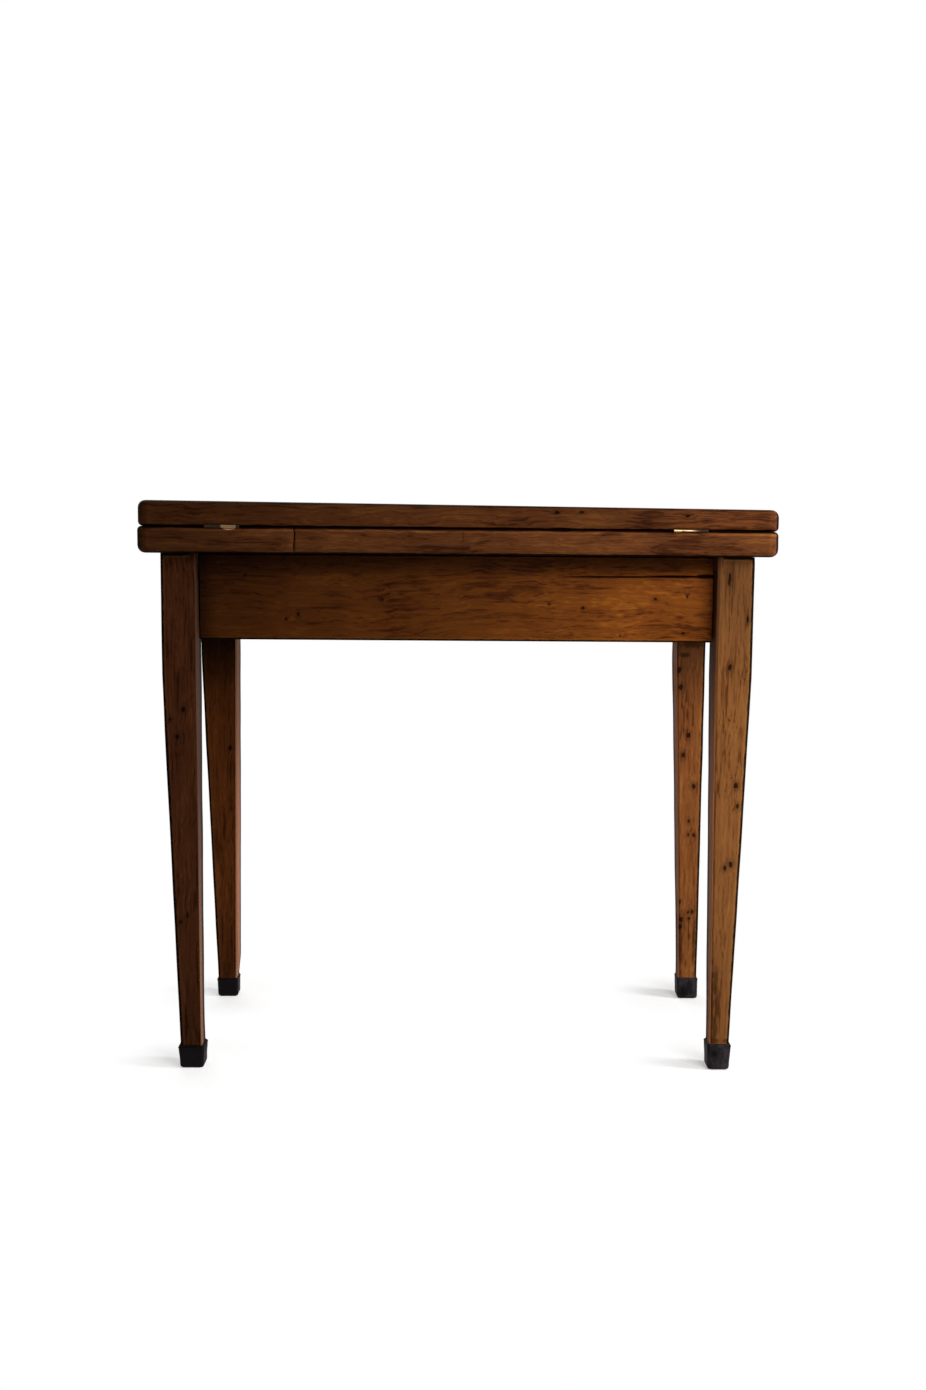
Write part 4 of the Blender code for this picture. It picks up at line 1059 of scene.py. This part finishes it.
def crack_and_chip(shape, front_y):
    """Opens the crack across the lower leaf's front edge and hollows the chip beside the left hinge."""
    slice_at(shape, 0, (crack_x - crack_half_width, crack_x, crack_x + crack_half_width))
    steps = int(chip_half_width / chip_slice)
    slice_at(shape, 0, [chip_centre.x + step * chip_slice for step in range(-steps, steps + 1)])
    layers = range(2, int(chip_height / chip_layer) + 1)
    slice_at(shape, 2, [chip_centre.z - layer * chip_layer for layer in layers])
    for vertex in shape.verts:
        point = vertex.co
        if point.y > front_y + front_depth:
            continue
        from_crack = abs(point.x - crack_x)
        if from_crack < crack_half_width + merge_distance:
            if from_crack < merge_distance:
                point.y += crack_depth
            point.x += noise.noise((0, 0, point.z / crack_wave)) * crack_jitter
        across = (point.x - chip_centre.x) / chip_half_width
        up = (point.z - chip_centre.z) / chip_height
        hollow = chip_depth * math.sqrt(max(0.0, 1 - across ** 2 - up ** 2))
        point.y += hollow
        point.z -= hollow * max(0.0, 1 + up)


def build_leaf(level):
    node = level + "_leaf"
    low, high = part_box(node)
    shape = merged_copy(node)
    slice_across(shape, 0, leaf_slice)
    slice_across(shape, 2, leaf_front_slice)
    for vertex in shape.verts:
        seam = seam_left + (seam_right - seam_left) * (vertex.co.x - low.x) / (high.x - low.x)
        if abs(vertex.co.z - seam) < 3 * leaf_settling:
            vertex.co.z += leaf_settling if level == "lower" else -leaf_settling
        if level == "upper":
            vertex.co.x += leaf_inset_left * max(0.0, 1 - (vertex.co.x - low.x) / leaf_inset_reach)
    if level == "lower":
        crack_and_chip(shape, low.y)
    wander(shape)
    for vertex in shape.verts:
        vertex.co.y = max(vertex.co.y, low.y)
    rims = []
    for left, right, reach, inset, tone in leaf_rims[level]:
        rim = {"Low": low, "High": high, "Height": (left + right) / 2,
               "Slope": (right - left) / (high.x - low.x), "Reach": reach, "Inset": inset}
        rims.append((rim, tone))
    fades = (leaf_painted_light_fade, *leaf_fades[level])
    ends = ((low.x, 1.0, low.y), (high.x, -1.0, low.y))
    chip = None
    if level == "lower":
        chip = (chip_centre, (chip_half_width, chip_mark_depth, chip_height), chip_colour)
    look = wood_look("stain_" + node, leaf_stains[level], "X", leaf_log_places[level],
                     through_marks(low.y, leaf_marks[level]), fades=fades, ends=ends, rims=rims, chip=chip,
                     clouds=leaf_clouds[level], streaks=1.0, curl=leaf_curl)
    settle(shape, node, look)


for level in ("lower", "upper"):
    build_leaf(level)


# Playing cloth: one panel of green baize glued into a shallow recess in each leaf. It can't be
# seen while the table is folded.
cloth_colour = (0.01, 0.064, 0.03)
cloth_worn_colour = (0.038, 0.112, 0.052)
nap_texture = ((1400.0, 1400.0, 1400.0), 3.0, 0.7)
nap_share = 0.5
nap_relief = 0.0004
worn_texture = ((9.0, 9.0, 9.0), 4.0, 0.6)
worn_span = (0.45, 0.75, 0.0, 0.28)
cloth_gloss = 0.05
cloth_roughness = 0.95
cloth_sheen = {"Sheen Weight": 0.08, "Sheen Roughness": 0.5}


def build_baize():
    material, tree, shader, place = new_material("green_baize")
    nap = stretched_noise(tree, place, *nap_texture)
    worn = ramp(tree, stretched_noise(tree, place, *worn_texture), *worn_span)
    shade = total(tree, worn, off_middle(tree, nap, nap_share))
    colour = mixed(tree, shade, (*cloth_colour, 1.0), (*cloth_worn_colour, 1.0))
    dress(tree, shader, colour, cloth_roughness, off_middle(tree, nap, nap_relief), cloth_gloss)
    fill_inputs(tree, shader, cloth_sheen)
    return material


green_baize = build_baize()
for level in ("lower", "upper"):
    cloth = settle(merged_copy(level + "_cloth"), level + "_cloth", green_baize)


# Hinges: two brass butt hinges let into the seam, browned with age and screwed with brass.
brass_colour = (0.78, 0.5, 0.26)
brass_roughness = 0.33
brown_film_colour = (0.034, 0.018, 0.009)
brown_film_span = (0.45, 0.75)
# Where each barrel is bright: X from dull to bright to dull, the height, half the width at both ends
bright_spans = ((-0.3095, -0.3065, -0.2908, -0.289, 0.7399, 0.003, 0.003),
                (0.277, 0.279, 0.3, 0.316, 0.7391, 0.0017, 0.0004))

aged_brass = metal_look("aged_brass", brass_colour, brass_roughness, brown_film_colour, brown_film_span,
                        bright_spans)
for node in frame["nodes"]:
    if node.startswith("hinge_"):
        settle(merged_copy(node), node, aged_brass)
